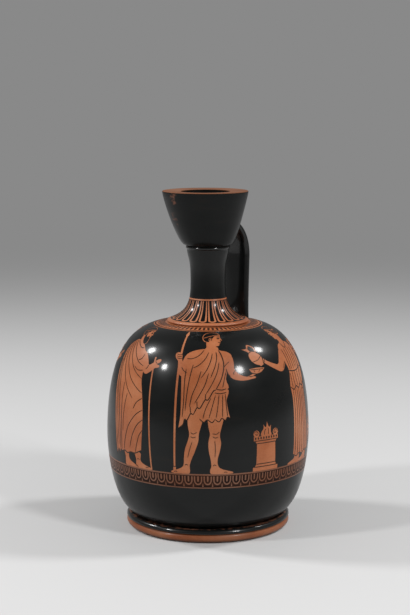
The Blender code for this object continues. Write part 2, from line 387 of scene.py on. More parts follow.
# The body
# The barrel, thrown in one piece with its floor and shoulder, and open on top where the neck stands.
# Its clay shows inside, and outside wherever the painter left the coat of gloss away.
body_low, body_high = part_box("body")
base_level = body_low.z
shoulder_level = body_high.z
belly_radius = body_high.x
base_radius = 0.0450
base_spread = math.radians(62.7)
base_reach = 0.0151
belly_level = base_level + 0.0470
belly_drop = 0.0075
belly_rise = 0.0465
seat_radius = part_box("neck")[1].x
shoulder_slope = math.radians(1.5)
shoulder_reach = 0.0233
body_wall_depth = 0.0045
body_floor = base_level + 0.0050
bore_radius = 0.0062


def curve(start, start_pull, end_pull, end, steps):
    """Points of a cubic curve on the section, from its two ends and the pull at each."""
    start, end = np.array(start), np.array(end)
    t = np.linspace(0, 1, steps + 1)[:, None]
    inner_start, inner_end = start + np.array(start_pull), end + np.array(end_pull)
    return (
        start * (1 - t) ** 3
        + inner_start * 3 * t * (1 - t) ** 2
        + inner_end * 3 * t**2 * (1 - t)
        + end * t**3
    )


lower_wall = curve(
    (base_radius, base_level),
    (base_reach * math.sin(base_spread), base_reach * math.cos(base_spread)),
    (0, -belly_drop),
    (belly_radius, belly_level),
    60,
)
upper_wall = curve(
    (belly_radius, belly_level),
    (0, belly_rise),
    (shoulder_reach * math.cos(shoulder_slope), -shoulder_reach * math.sin(shoulder_slope)),
    (seat_radius, shoulder_level),
    120,
)
body_wall = wall_of(joined(lower_wall, upper_wall))
inside_wall = (body_wall["face"] - body_wall["out"] * body_wall_depth)[::4]
inside_wall = inside_wall[inside_wall[:, 1] > body_floor][::-1]
body_section = joined(
    (0, base_level),
    body_wall["face"],
    (bore_radius, shoulder_level),
    (bore_radius, inside_wall[0][1]),
    inside_wall,
    (inside_wall[-1][0], body_floor),
    (0, body_floor),
)
body = turned("body_clay", body_section, False, 192)
bare_clay = toned_material(
    "bare_clay", clay_tone, bump=0.25, ior=1.3, polish=0.12, Wash=(1, 1, 1, 1), Soil_Level=0.001
)
body.data.materials.append(bare_clay)
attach(body, "root")
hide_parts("body")

# The painting on the body
# Black slip laid round the figures and bands, which stay in the clay's colour, with inner lines in slip.
# Each shape is laid out flat, in millimetres round the belly and up the wall, and then wrapped on the wall.
picture_turn = math.radians(-49.2)
sheet_turn = math.radians(23.72)
ground_level = 0.0433
paint_step = 2.2


def spot(wall, turn, along, lift):
    """A place on a wall, at a turn and a distance along the section (metres), and the way out there."""
    radius = np.interp(along, wall["along"], wall["face"][:, 0])
    height = np.interp(along, wall["along"], wall["face"][:, 1])
    out = np.interp(along, wall["along"], wall["out"][:, 0])
    up = np.interp(along, wall["along"], wall["out"][:, 1])
    angle = picture_turn + sheet_turn + turn
    cos, sin = np.cos(angle), np.sin(angle)
    place = np.column_stack(((radius + out * lift) * cos, (radius + out * lift) * sin, height + up * lift))
    way = np.column_stack((out * cos, out * sin, up))
    return place, way / np.linalg.norm(way, axis=1)[:, None]


def split_long(outline, longest):
    """The outline with its long edges cut up, so that they can follow a curved wall."""
    points = np.array(outline, float)
    run = []
    for a, b in zip(points, np.roll(points, -1, axis=0)):
        parts = max(1, math.ceil(np.linalg.norm(b - a) / longest))
        run.extend(a + (b - a) * i / parts for i in range(parts))
    return np.array(run)


def painted(wall, radius, first, last, shapes, step):
    """Cuts a flat sheet, between two levels, into triangles along all painted shapes.
    A later shape covers an earlier one, and what no shape covers is gloss."""
    half = math.pi * radius * 1000
    columns = 2 * round(half / step)
    rows = max(2, round((last - first) / step))
    points = []
    for j in range(rows + 1):
        shift = 0.5 * (j % 2)
        for i in range(columns + 1):
            across = min(max(i - shift, 0), columns) if 0 < i < columns else i
            points.append((-half + 2 * half * across / columns, first + (last - first) * j / rows))
    faces, finishes = [], []
    for finish, outline in shapes:
        start = len(points)
        run = split_long(outline, 0.6 * step)
        x, y = run.T
        area = np.sum(x * np.roll(y, -1) - y * np.roll(x, -1))
        points.extend(tuple(point) for point in (run if area > 0 else run[::-1]).tolist())
        faces.append(list(range(start, len(points))))
        finishes.append(finish)
    vectors = [Vector(point) for point in points]
    made = delaunay_2d_cdt(vectors, [], faces, 0, 1e-5, True)
    sheet = {"wall": wall, "radius": radius, "half": half, "points": [tuple(v) for v in made[0]]}
    for triangle, owners in zip(made[2], made[5]):
        finish = finishes[max(owners)] if owners else "gloss"
        sheet.setdefault(finish, []).append(triangle)
    return sheet


def coat_piece(name, sheet, finish, lift, material, start=0):
    """Wraps the triangles of one finish on the wall as a thin closed coat, shaded by the wall's own curve.
    The start turns the whole sheet about the axis, in radians."""
    half = sheet["half"]
    keys, index, remap = {}, [], {}
    for triangle in sheet[finish]:
        for corner in triangle:
            if corner in remap:
                continue
            x, y = sheet["points"][corner]
            x = -half if x > half - 1e-4 else x
            key = (round(x, 4), round(y, 4))
            if key not in keys:
                keys[key] = len(index)
                index.append((x, y))
            remap[corner] = keys[key]
    index = np.array(index)
    tops = []
    for triangle in sheet[finish]:
        a, b, c = (remap[corner] for corner in triangle)
        if len({a, b, c}) == 3:
            tops.append((a, b, c))
    turn, along = start + index[:, 0] / (sheet["radius"] * 1000), index[:, 1] / 1000
    upper, way = spot(sheet["wall"], turn, along, lift)
    under, _ = spot(sheet["wall"], turn, along, -coat_sink)
    count = len(index)
    sides = {}
    for a, b, c in tops:
        for edge in ((a, b), (b, c), (c, a)):
            sides[edge] = True
    rims = [edge for edge in sides if (edge[1], edge[0]) not in sides]
    faces = list(tops)
    faces += [(c + count, b + count, a + count) for a, b, c in tops]
    faces += [(b, a, a + count, b + count) for a, b in rims]
    mesh = bpy.data.meshes.new(name)
    mesh.from_pydata([tuple(v) for v in np.vstack((upper, under))], [], faces)
    mesh.shade_smooth()
    normals = [tuple(way[corner]) for triangle in tops for corner in triangle]
    normals += [tuple(-way[corner]) for triangle in tops for corner in triangle[::-1]]
    for a, b in rims:
        side = np.cross(upper[b] - upper[a], way[a])
        side = tuple(side / max(np.linalg.norm(side), 1e-12))
        normals += [side] * 4
    mesh.normals_split_custom_set(normals)
    piece = bpy.data.objects.new(name, mesh)
    bpy.context.scene.collection.objects.link(piece)
    piece.data.materials.append(material)
    return piece


unrubbed = {"Rub_Stretch": (1, 1, 1), "Rub_Reach": 0.00001}
black_gloss = toned_material("black_gloss", gloss_tone, bump=0.20, ior=1.20, polish=0.2, **unrubbed)
body_shapes = []
belly_half = math.pi * belly_radius * 1000
line_level = np.interp(ground_level, body_wall["face"][:, 1], body_wall["along"]) * 1000

# The egg band below the figures
# A row of hanging eggs between two lines, each a light core in a dark bed and a loop, with darts between.
# The loops and lines lie under a thin wash, darkened also as painted shade on the down-turned band, and
# what is between them under thinned slip, which fired brown.
egg_count = 68
egg_pitch = 2 * belly_half / egg_count
egg_top = line_level - 0.6
egg_bottom = line_level - 8.0
upper_line = 0.75
lower_line = 0.65
egg_loop = ("wash", 0.43, 0, 5.3)
egg_bed = ("brown", 0.30, 0.02, 4.5)
egg_core = ("wash", 0.08, 0.04, 3.3)
dart_half = 0.45
dart_low = egg_bottom + 1.0
dart_high = egg_bottom + 3.6


def band(finish, half, low, high):
    """A stripe right round the flask."""
    return finish, [(-half, low), (half, low), (half, high), (-half, high)]


def tongue(centre, half_width, top, bottom, steps=6):
    """A tongue that hangs from a level line, with a round end."""
    end = bottom + min(half_width * 1.3, top - bottom)
    turns = np.linspace(0, math.pi, 2 * steps + 1)
    round_end = [(centre + half_width * math.cos(t), end - (end - bottom) * math.sin(t)) for t in turns]
    return [(centre + half_width, top), *round_end, (centre - half_width, top)]


# The tint is darker than the wash alone: part of it is painted shade where the band turns down from the
# light.
washed_and_shaded_clay = toned_material(
    "washed_and_shaded_clay",
    clay_tone,
    bump=0.25,
    ior=1.3,
    polish=0.12,
    Wash=(0.42, 0.50, 0.64, 1),
    Soil_Level=0.001,
)
brown_slip = toned_material(
    "brown_slip",
    clay_tone,
    bump=0.15,
    ior=1.14,
    polish=0.1,
    Wash=(0.020, 0.014, 0.015, 1),
    Soil_Level=0.001,
)
body_shapes.append(band("brown", belly_half, egg_bottom, line_level))
body_shapes.append(band("wash", belly_half, line_level - 0.1, line_level + upper_line))
body_shapes.append(band("wash", belly_half, egg_bottom, egg_bottom + lower_line))
for i in range(egg_count):
    middle = -belly_half + (i + 0.5) * egg_pitch
    for finish, share, rise, depth in (egg_loop, egg_bed, egg_core):
        body_shapes.append((finish, tongue(middle, share * egg_pitch, egg_top + rise, egg_top - depth)))
    side = middle + egg_pitch / 2
    if i < egg_count - 1:
        dart = [(side - dart_half, dart_low), (side + dart_half, dart_low), (side, dart_high)]
        body_shapes.append(("wash", dart))

# The ring of drops round the neck
# A narrow ring of bare clay on the shoulder, with a thin line of brown slip near its edge.
# Long drops of black slip stand between that line and the neck's ridge, which closes the ring.
ring_radius = 0.03235
upper_part = slice(len(lower_wall), None)
shoulder_radii = body_wall["face"][upper_part, 0]
ring_line = np.interp(-ring_radius, -shoulder_radii, body_wall["along"][upper_part]) * 1000
ring_end = body_wall["along"][-1] * 1000
drop_count = 70
drop_pitch = 2 * belly_half / drop_count
drop_half = 0.27 * drop_pitch
body_shapes.append(band("clay", belly_half, ring_line, ring_end))
body_shapes.append(band("brown", belly_half, ring_line + 0.8, ring_line + 1.5))
for i in range(drop_count):
    middle = -belly_half + (i + 0.5) * drop_pitch
    drop = tongue(middle, drop_half, ring_end - 1.3, ring_line + 2.3, 4)
    body_shapes.append(("gloss", drop))

# The youth with a bowl
# A stock figure of such flasks, in a short tunic and a cloak, who holds out a bowl and a spear.
# Outlines are rounded through a few points and inner lines are fine strokes, in millimetres above the band.
# The drawing looks left and is turned over as it is laid.
line_lift = 0.00009


def line_group():
    """The slip of the drawn lines: black, and brown where the brush ran thin."""
    tree, _, out = tone_group("line_tone")
    where = new_node(tree, "ShaderNodeTexCoord", (-900, 0))
    flow = new_node(tree, "ShaderNodeTexNoise", (-700, 0), Scale=160.0, Detail=4.0)
    tones = ramp(tree, (-400, 150), (0.35, (0.008, 0.0065, 0.0055)), (0.72, (0.040, 0.020, 0.011)))
    rough = new_node(tree, "ShaderNodeMapRange", (-400, -150), To_Min=0.26, To_Max=0.40)
    wire(
        tree,
        (where, "Object", flow, "Vector"),
        (flow, "Fac", tones, "Fac"),
        (flow, "Fac", rough, "Value"),
        (flow, "Fac", out, "Height"),
        (tones, "Color", out, "Color"),
        (rough, "Result", out, "Roughness"),
    )
    return tree


relief_line = toned_material("relief_line", line_group(), bump=0.1, ior=1.2, polish=0.15)


def rounded(points, closed=True, steps=4):
    """A rounded run through the chosen points. A point given twice stays a sharp corner."""
    points = [np.array(point, float) for point in points]
    count = len(points)
    run = []
    for i in range(count if closed else count - 1):
        a, b = points[i], points[(i + 1) % count]
        if np.allclose(a, b):
            continue
        before = points[i - 1] if closed or i else a
        after = points[(i + 2) % count] if closed or i + 2 < count else b
        for t in np.arange(steps) / steps:
            run.append(
                a
                + (b - before) * t / 2
                + (2 * before - 5 * a + 4 * b - after) * t**2 / 2
                + (3 * a - before - 3 * b + after) * t**3 / 2
            )
    if not closed:
        run.append(points[-1])
    return run


def brushed(width, points, steps=4, ends=0.35):
    """The outline of one brush stroke through the chosen points."""
    middle = np.array(rounded(points, False, steps))
    ahead = np.gradient(middle, axis=0)
    ahead /= np.linalg.norm(ahead, axis=1)[:, None]
    side = np.column_stack((-ahead[:, 1], ahead[:, 0]))
    share = np.linspace(0, 1, len(middle))
    half = (width / 2 * np.minimum(1, ends + 6 * np.minimum(share, 1 - share)))[:, None]
    return [*(middle + side * half), *(middle - side * half)[::-1]]


def disc(x, y, radius, points=16):
    """A round spot."""
    turns = np.linspace(0, math.tau, points + 1)[:-1]
    return [(x + radius * math.cos(t), y + radius * math.sin(t)) for t in turns]


def mirrored(shapes):
    """The same shapes turned left to right."""
    return [(finish, [(-x, y) for x, y in outline]) for finish, outline in shapes]


def lay(shapes, axis, drift=0):
    """Sets an upright drawing on the flat sheet, on an axis in degrees to the right of the picture's front.
    The axis may drift a little to one side towards the shoulder."""
    for finish, outline in shapes:
        x, up = np.array(outline, float).T
        height = line_level + upper_line + up
        radius = np.interp(height / 1000, body_wall["along"], body_wall["face"][:, 0]) * 1000
        turn = np.radians(axis + drift * np.clip(up / 80, 0, 2) ** 2.5) - sheet_turn + x / radius
        body_shapes.append((finish, list(zip(turn * belly_radius * 1000, height))))


def profile_head(ear, chin, bearded):
    """A plain head that looks left, with short hair and a band round it."""
    throat = [(-2.9, 2.2), (-2.6, -1.5), (-3.6, -3.6), (3.0, -4.0), (2.7, -1.0), (2.7, 3.6)]
    skull = [
        (-4.25, 8.6), (-4.5, 7.5), (-4.5, 7.0), (-5.1, 5.6), (-5.75, 4.75), (-5.55, 4.35),
        (-4.75, 4.25), (-4.75, 4.0), (-5.15, 3.45), (-4.7, 3.0), (-4.95, 2.45), (-4.45, 1.9),
        (-4.6, 1.2), (-4.1, 0.35), (-3.0, 0.1), (-0.8, 0.9), (1.2, 2.4), (2.2, 3.0), (4.2, 3.6),
        (5.4, 5.6), (5.5, 8.2), (4.3, 10.9), (1.6, 12.4), (-1.4, 12.1), (-3.5, 10.6),
    ]
    hair = [
        (-3.75, 9.3), (-3.1, 10.5), (-1.2, 11.7), (1.5, 12.0), (3.9, 10.6), (5.05, 8.1), (4.95, 5.7),
        (3.9, 4.0), (2.6, 3.4), (1.5, 3.6), (1.9, 4.8), (1.9, 6.3), (0.9, 6.9), (0.2, 6.2), (-0.5, 7.0),
        (-0.9, 8.2), (-2.2, 8.7), (-3.1, 8.9),
    ]
    shapes = [
        ("clay", rounded(throat)),
        ("clay", rounded(skull)),
        ("gloss", rounded(hair)),
        ("clay", brushed(0.5, [(-3.6, 9.55), (-1.6, 9.3), (1.6, 8.2), (5.0, 6.5)], 4, 0.9)),
        ("line", brushed(0.36, [(0.35, 4.4), (0.25, 5.7), (1.05, 6.2), (1.5, 5.5), (1.0, 4.4)])),
        ("line", brushed(0.42, [(-4.35, 7.35), (-3.4, 7.75), (-2.3, 7.45)])),
        ("line", brushed(0.40, [(-4.2, 6.15), (-3.5, 6.6), (-2.5, 6.2)])),
        ("line", brushed(0.30, [(-4.05, 5.95), (-3.3, 5.75), (-2.6, 6.1)])),
        ("line", disc(-3.72, 6.17, 0.35, 8)),
        ("line", brushed(0.30, [(-5.2, 4.4), (-4.85, 4.75), (-4.55, 4.6)])),
        ("line", brushed(0.38, [(-4.75, 3.0), (-4.1, 3.05), (-3.6, 2.85)])),
    ]
    if bearded:
        beard = [
            (-4.0, 3.75), (-4.55, 2.3), (-4.9, 0.6), (-4.6, -1.3), (-3.2, -2.4), (-1.4, -1.6),
            (-0.2, 0.2), (0.7, 2.2), (0.9, 4.4), (0.2, 5.0), (-0.6, 3.4), (-1.8, 2.7), (-2.9, 3.6),
        ]
        edge = [(1.07 * x - 0.1, y - 0.25 * (y < 2)) for x, y in beard]
        shapes.append(("clay", rounded(edge)))
        shapes.append(("gloss", rounded(beard)))
        shapes.append(("clay", brushed(0.5, [(-4.75, 2.95), (-4.0, 3.05), (-3.2, 2.75)])))
    return [(finish, [(ear + x, chin + y) for x, y in outline]) for finish, outline in shapes]


spear_turn = -18.3
spear_point = [
    (0, 81.0), (0, 81.0), (0.9, 83.2), (0.55, 85.6), (0, 87.6), (0, 87.6), (-0.55, 85.6), (-0.9, 83.2),
]
spear = [
    ("clay", [(-0.55, 0.2), (0.55, 0.2), (0.5, 82.0), (-0.5, 82.0)]),
    ("clay", rounded(spear_point)),
    ("clay", rounded([(-0.8, 3.6), (0.8, 3.6), (0.45, 0.1), (-0.45, 0.1)])),
    ("line", [(-0.85, 3.7), (0.85, 3.7), (0.85, 4.1), (-0.85, 4.1)]),
]
lay(spear, spear_turn)

front_leg = [
    (0.6, 40), (-0.9, 33), (-2.0, 27), (-2.9, 23), (-2.2, 18.5), (-2.5, 13.5), (-3.6, 8.5), (-4.0, 4.8),
    (-3.3, 2.3), (-3.5, 0.4), (-5.2, 0), (-9.5, 0), (-14.6, 0), (-16.4, 0.3), (-16.2, 1.1),
    (-13.4, 1.9), (-10.0, 3.0), (-8.0, 4.8), (-7.6, 8.5), (-8.8, 13.5), (-9.4, 18), (-8.6, 22.5),
    (-9.4, 27), (-10.6, 33), (-11.0, 40),
]
back_leg = [
    (-0.6, 40), (0.9, 33), (2.4, 27), (3.3, 23), (3.5, 19), (5.2, 13.5), (7.2, 8.5), (8.2, 5.0),
    (8.0, 2.2), (8.4, 0.3), (10.0, 0), (14.6, 0), (18.0, 0.1), (19.2, 0.6), (18.4, 1.5), (15.4, 2.4),
    (12.6, 3.9), (11.7, 6.0), (11.6, 9.0), (11.1, 14), (9.6, 19), (8.8, 23), (9.8, 28), (10.2, 34),
    (9.8, 40),
]
spear_arm = [
    (12.0, 58), (14.6, 55.6), (17.2, 56.6), (18.2, 60.5), (18.6, 64.2), (20.0, 66.0), (20.4, 68.2),
    (19.2, 69.6), (17.2, 69.4), (16.2, 67.6), (16.2, 65.4), (14.8, 62.4),
]
bowl_arm = [
    (-8.0, 68.6), (-11.8, 67.4), (-13.6, 63.4), (-14.6, 59.2), (-18.2, 56.2), (-22.2, 54.8),
    (-24.0, 55.2), (-26.2, 56.1), (-28.4, 56.5), (-28.3, 55.7), (-26.2, 54.9), (-28.1, 54.4),
    (-28.0, 53.6), (-25.4, 53.2), (-22.8, 52.8), (-18.8, 52.8), (-14.2, 54.0), (-11.2, 56.6),
    (-9.6, 60.2), (-8.6, 61.6),
]
tunic = [
    (-10.6, 49), (-11.4, 42), (-12.8, 36), (-14.0, 32.2), (-14.0, 32.2), (-12.4, 32.9), (-11.4, 31.0),
    (-11.4, 31.0), (-9.2, 32.2), (-7.8, 30.2), (-7.8, 30.2), (-5.4, 31.8), (-3.8, 29.8), (-3.8, 29.8),
    (-1.2, 31.6), (0.8, 30.0), (0.8, 30.0), (3.6, 32.2), (8, 33), (9.5, 42), (9.5, 49),
]
chest = [
    (-10.8, 48), (-10.0, 54), (-10.6, 60), (-12.0, 65), (-11.6, 68.2), (-8.6, 70.4), (-4.2, 71.6),
    (-3.0, 73.6), (2.6, 73.6), (4.4, 71.8), (9.0, 70), (12, 66), (11, 56), (9.8, 48),
]
cloak = [
    (-3.6, 71.4), (-0.4, 69.6), (3.2, 71.8), (4.6, 72.4), (9.2, 71.4), (13.4, 69.0), (15.6, 64.6),
    (15.9, 58.5), (15.2, 51), (14.6, 42), (14.4, 34), (15.2, 26.2), (15.2, 26.2), (12.6, 28.2),
    (11.8, 31.6), (11.8, 31.6), (10.4, 30.6), (8.6, 34.8), (8.6, 34.8), (7.0, 33.8), (5.0, 38.2),
    (5.0, 38.2), (3.4, 37.6), (0.8, 42.6), (0.8, 42.6), (-0.8, 42.4), (-3.6, 47.6), (-3.6, 47.6),
    (-4.8, 47.6), (-7.2, 53.4), (-8.0, 59.8), (-7.4, 66.0),
]
bowl = [
    (-33.8, 58.9), (-33.8, 58.9), (-32.0, 56.9), (-28.6, 56.0), (-25.2, 56.9), (-23.4, 58.9),
    (-23.4, 58.9), (-28.6, 59.4),
]
youth_parts = (back_leg, front_leg, spear_arm, bowl_arm, tunic, chest, cloak)
youth = [("clay", rounded(part)) for part in youth_parts]
youth += profile_head(0.4, 74.2, False)
youth.append(("clay", rounded(bowl)))
for width, points in (
    (0.55, [(-3.8, 71.4), (-5.6, 68.6), (-7.6, 63.6), (-8.0, 58.6), (-7.0, 53.2), (-4.6, 47.8)]),
    (0.60, [(-4.6, 47.8), (-3.4, 47.4), (-0.9, 42.6), (0.9, 42.4), (3.4, 37.8), (5.1, 38.0), (7.0, 34.0)]),
    (0.60, [(7.0, 34.0), (8.6, 34.6), (10.4, 30.8), (11.8, 31.4), (12.6, 28.3), (15.0, 26.4)]),
    (0.42, [(-2.6, 70.4), (-3.4, 66.0), (-2.8, 60.6), (-1.2, 55.0)]),
    (0.42, [(-0.6, 69.4), (-0.2, 64.8), (1.4, 59.6), (4.2, 54.8)]),
    (0.42, [(1.4, 70.2), (3.0, 66.0), (6.0, 62.4), (9.2, 60.6)]),
    (0.42, [(4.2, 71.6), (6.6, 68.2), (10.0, 66.2), (13.4, 66.0)]),
    (0.42, [(-5.0, 64.0), (-4.6, 58.0), (-2.4, 51.6), (0.6, 45.6)]),
    (0.42, [(0.2, 57.6), (1.6, 51.0), (4.4, 44.8), (6.6, 40.6)]),
    (0.42, [(4.6, 58.8), (6.0, 52.0), (8.4, 45.0), (9.4, 38.4)]),
    (0.42, [(9.4, 62.6), (10.6, 55.0), (11.4, 46.0), (11.8, 36.0)]),
    (0.42, [(13.2, 60.0), (13.4, 52.0), (13.0, 42.0), (13.2, 32.6)]),
    (0.40, [(8.5, 34.9), (8.8, 36.7), (9.0, 38.6)]),
    (0.40, [(5.0, 38.2), (5.2, 39.9), (5.4, 41.6)]),
    (0.40, [(0.8, 42.6), (0.8, 44.2), (0.8, 45.8)]),
    (0.50, [(-10.6, 48.6), (-8.0, 48.0), (-5.2, 48.4)]),
    (0.42, [(-10.9, 46.6), (-7.6, 46.0), (-4.2, 46.4)]),
    (0.38, [(-10.4, 45.6), (-11.6, 38.0), (-12.6, 33.2)]),
    (0.38, [(-8.8, 45.4), (-9.4, 38.4), (-9.6, 32.6)]),
    (0.38, [(-6.8, 45.4), (-6.6, 38.2), (-6.0, 32.2)]),
    (0.38, [(-4.8, 45.0), (-3.4, 38.4), (-2.0, 32.2)]),
    (0.38, [(-2.4, 43.6), (0.2, 37.4), (1.4, 32.0)]),
    (0.38, [(-9.6, 58.4), (-9.0, 53.6), (-8.6, 49.4)]),
    (0.38, [(-10.8, 64.2), (-8.8, 62.0), (-8.0, 60.6)]),
    (0.50, [(-13.9, 32.0), (-12.4, 32.7), (-11.4, 30.9), (-9.2, 32.0), (-7.8, 30.1), (-5.4, 31.6)]),
    (0.50, [(-5.4, 31.6), (-3.8, 29.7), (-1.2, 31.4), (0.8, 29.9), (3.4, 31.9)]),
    (0.36, [(-8.2, 24.4), (-6.8, 23.2), (-4.4, 23.4)]),
    (0.36, [(-7.6, 21.6), (-6.0, 21.0), (-4.6, 21.8)]),
    (0.34, [(-5.8, 19.4), (-6.2, 14.6), (-6.0, 10.0)]),
    (0.36, [(4.6, 24.2), (6.4, 23.2), (8.0, 24.0)]),
    (0.36, [(5.0, 21.6), (6.6, 21.0), (8.0, 21.8)]),
    (0.34, [(7.0, 18.8), (8.4, 14.0), (9.4, 9.6)]),
    (0.34, [(-6.9, 4.9), (-5.8, 5.5), (-5.0, 4.8)]),
    (0.34, [(9.2, 5.0), (10.2, 5.6), (11.0, 4.9)]),
    (0.30, [(-13.2, 0.9), (-11.8, 1.1), (-11.2, 0.6)]),
    (0.30, [(15.4, 0.8), (16.6, 1.2), (17.4, 0.7)]),
    (0.34, [(-14.9, 58.8), (-14.1, 57.4), (-14.5, 56.4)]),
    (0.38, [(-9.4, 60.0), (-10.9, 57.0), (-12.4, 55.5)]),
    (0.32, [(-23.8, 54.8), (-25.4, 54.6), (-26.4, 54.9)]),
    (0.32, [(16.6, 67.2), (18.2, 67.0), (19.6, 67.4)]),
    (0.32, [(16.6, 68.4), (18.2, 68.2), (19.4, 68.6)]),
    (0.32, [(16.4, 66.0), (18.0, 65.8), (19.4, 66.2)]),
    (0.34, [(12.6, 57.6), (14.6, 58.8), (16.0, 60.8)]),
    (0.45, [(-33.4, 58.2), (-32.0, 56.7), (-28.6, 55.8), (-25.2, 56.7), (-23.8, 58.2)]),
    (0.34, [(-33.1, 58.5), (-28.6, 58.4), (-24.1, 58.5)]),
    (0.30, [(-30.6, 58.1), (-30.3, 57.5), (-29.8, 56.8)]),
    (0.30, [(-26.6, 58.1), (-26.9, 57.5), (-27.4, 56.8)]),
):
    youth.append(("line", brushed(width, points)))
lay(mirrored(youth), -2, 6)

# The men in mantles
# An elder with a staff stands behind the youth, and a younger man at the far left.
# Both are wrapped to the ankles and hold one hand out. They share one drawing, and the elder has a beard.
staff = [("clay", brushed(1.0, [(-3.6, 0.2), (-1.6, 30), (0.4, 65.4)], 4, 1))]
lay(mirrored(staff), -35.9)

near_foot = [
    (-8.2, 9), (-8.0, 5.0), (-9.4, 3.2), (-13.0, 1.8), (-15.8, 1.0), (-16.0, 0.2), (-14.4, 0),
    (-8.0, 0), (-4.4, 0.1), (-4.2, 2.0), (-4.4, 5.0), (-3.6, 9),
]
far_foot = [
    (1.2, 9), (1.4, 5.2), (0.2, 3.4), (-3.0, 2.0), (-5.8, 1.1), (-6.0, 0.2), (-4.4, 0), (1.4, 0),
    (4.8, 0.1), (5.2, 2.0), (5.0, 5.0), (5.8, 9),
]
raised_arm = [
    (-4.0, 68.5), (-9.4, 67.4), (-12.0, 63.4), (-13.2, 60.4), (-15.6, 61.4), (-17.8, 63.2),
    (-20.0, 64.4), (-21.4, 64.0), (-20.8, 62.6), (-19.0, 61.2), (-20.6, 60.6), (-20.2, 59.4),
    (-17.6, 58.6), (-14.6, 56.2), (-11.2, 54.8), (-8.0, 58.0),
]
mantle = [
    (-3.4, 72.4), (-6.2, 70.0), (-8.4, 66.6), (-9.2, 61.6), (-9.6, 57.0), (-9.0, 51.0), (-9.8, 44.0),
    (-10.4, 36), (-10.2, 27), (-9.4, 18), (-8.8, 10.6), (-8.8, 10.6), (-6.6, 9.4), (-3.6, 8.0),
    (-0.4, 8.2), (2.6, 7.2), (5.6, 8.2), (8.4, 7.4), (9.8, 8.6), (9.8, 8.6), (10.8, 5.6), (10.8, 5.6),
    (12.2, 8.0), (13.8, 4.8), (13.8, 4.8), (14.8, 10.0), (15.8, 20), (16.8, 32), (17.2, 44), (16.4, 54),
    (14.6, 62.5), (11.0, 69.4), (6.6, 73.0), (3.0, 74.4),
]
mantle_hem = [
    (-8.6, 10.6), (-6.4, 9.4), (-3.4, 8.2), (-0.2, 8.4), (2.8, 7.4), (5.6, 8.4), (8.4, 7.6), (9.6, 8.6),
]
mantle_lines = (
    (0.50, [(-6.0, 0.4), (-3.0, 2.1), (0.1, 3.5), (1.3, 5.4), (1.2, 8)]),
    (0.50, [(2.8, 74.0), (-0.2, 71.2), (-3.2, 69.6), (-5.6, 69.8)]),
    (0.42, [(4.2, 73.6), (2.4, 69.4), (-0.6, 64.6), (-4.2, 61.0), (-9.0, 59.0)]),
    (0.42, [(5.8, 73.0), (4.8, 67.8), (2.2, 61.2), (-2.4, 55.4), (-8.8, 51.6)]),
    (0.42, [(7.4, 72.4), (7.2, 66.0), (5.2, 58.4), (0.8, 50.8), (-6.0, 45.4), (-9.6, 43.6)]),
    (0.42, [(9.0, 71.0), (9.6, 64.0), (8.2, 55.2), (4.6, 46.4), (-1.6, 39.6)]),
    (0.38, [(-9.2, 56.6), (-5.0, 56.2), (-1.4, 58.0)]),
    (0.38, [(-8.2, 66.2), (-6.6, 63.2), (-4.0, 62.0)]),
    (0.42, [(-9.8, 40.6), (-5.4, 37.8), (-2.6, 33.8)]),
    (0.42, [(-10.2, 34.0), (-4.6, 30.6), (1.8, 23.4), (5.0, 15.0), (5.8, 9.2)]),
    (0.42, [(-10.2, 28.4), (-5.8, 25.0), (-1.8, 18.6), (0.6, 11.0)]),
    (0.38, [(-9.8, 22.4), (-7.0, 18.6), (-5.0, 12.6), (-4.2, 9.0)]),
    (0.42, [(6.8, 47.6), (8.4, 38.0), (8.8, 26.0), (8.6, 15.0), (8.4, 8.4)]),
    (0.38, [(3.2, 41.6), (5.6, 34.0), (6.8, 26.6), (7.2, 19.4)]),
    (0.50, [(11.0, 68.4), (12.2, 60.0), (12.2, 48.0), (11.4, 34.0), (10.4, 20.0), (9.9, 8.8)]),
    (0.42, [(13.0, 63.4), (14.0, 54.0), (14.0, 42.0), (13.0, 26.0), (11.6, 10.6)]),
    (0.42, [(14.6, 60.0), (15.4, 48.0), (15.2, 34.0), (14.2, 18.0), (13.2, 8.0)]),
    (0.62, mantle_hem),
    (0.55, [(9.9, 8.4), (10.8, 5.9), (12.2, 8.2), (13.7, 5.2)]),
    (0.34, [(-13.0, 60.2), (-12.4, 58.6), (-11.2, 57.6)]),
    (0.32, [(-17.6, 62.8), (-18.6, 61.8), (-19.2, 61.2)]),
    (0.30, [(-13.6, 1.0), (-12.2, 1.2), (-11.6, 0.7)]),
    (0.34, [(-7.2, 4.8), (-6.2, 5.4), (-5.2, 4.9)]),
)


def mantled_man(bearded):
    """A man in a mantle who looks left, with one hand out in front."""
    shapes = [("clay", rounded(part)) for part in (far_foot, near_foot, raised_arm, mantle)]
    shapes += profile_head(-0.6, 74.6, bearded)
    shapes += [("line", brushed(width, points)) for width, points in mantle_lines]
    return shapes


lay(mirrored(mantled_man(True)), -47.5, -14)
lay(mirrored(mantled_man(False)), -100)

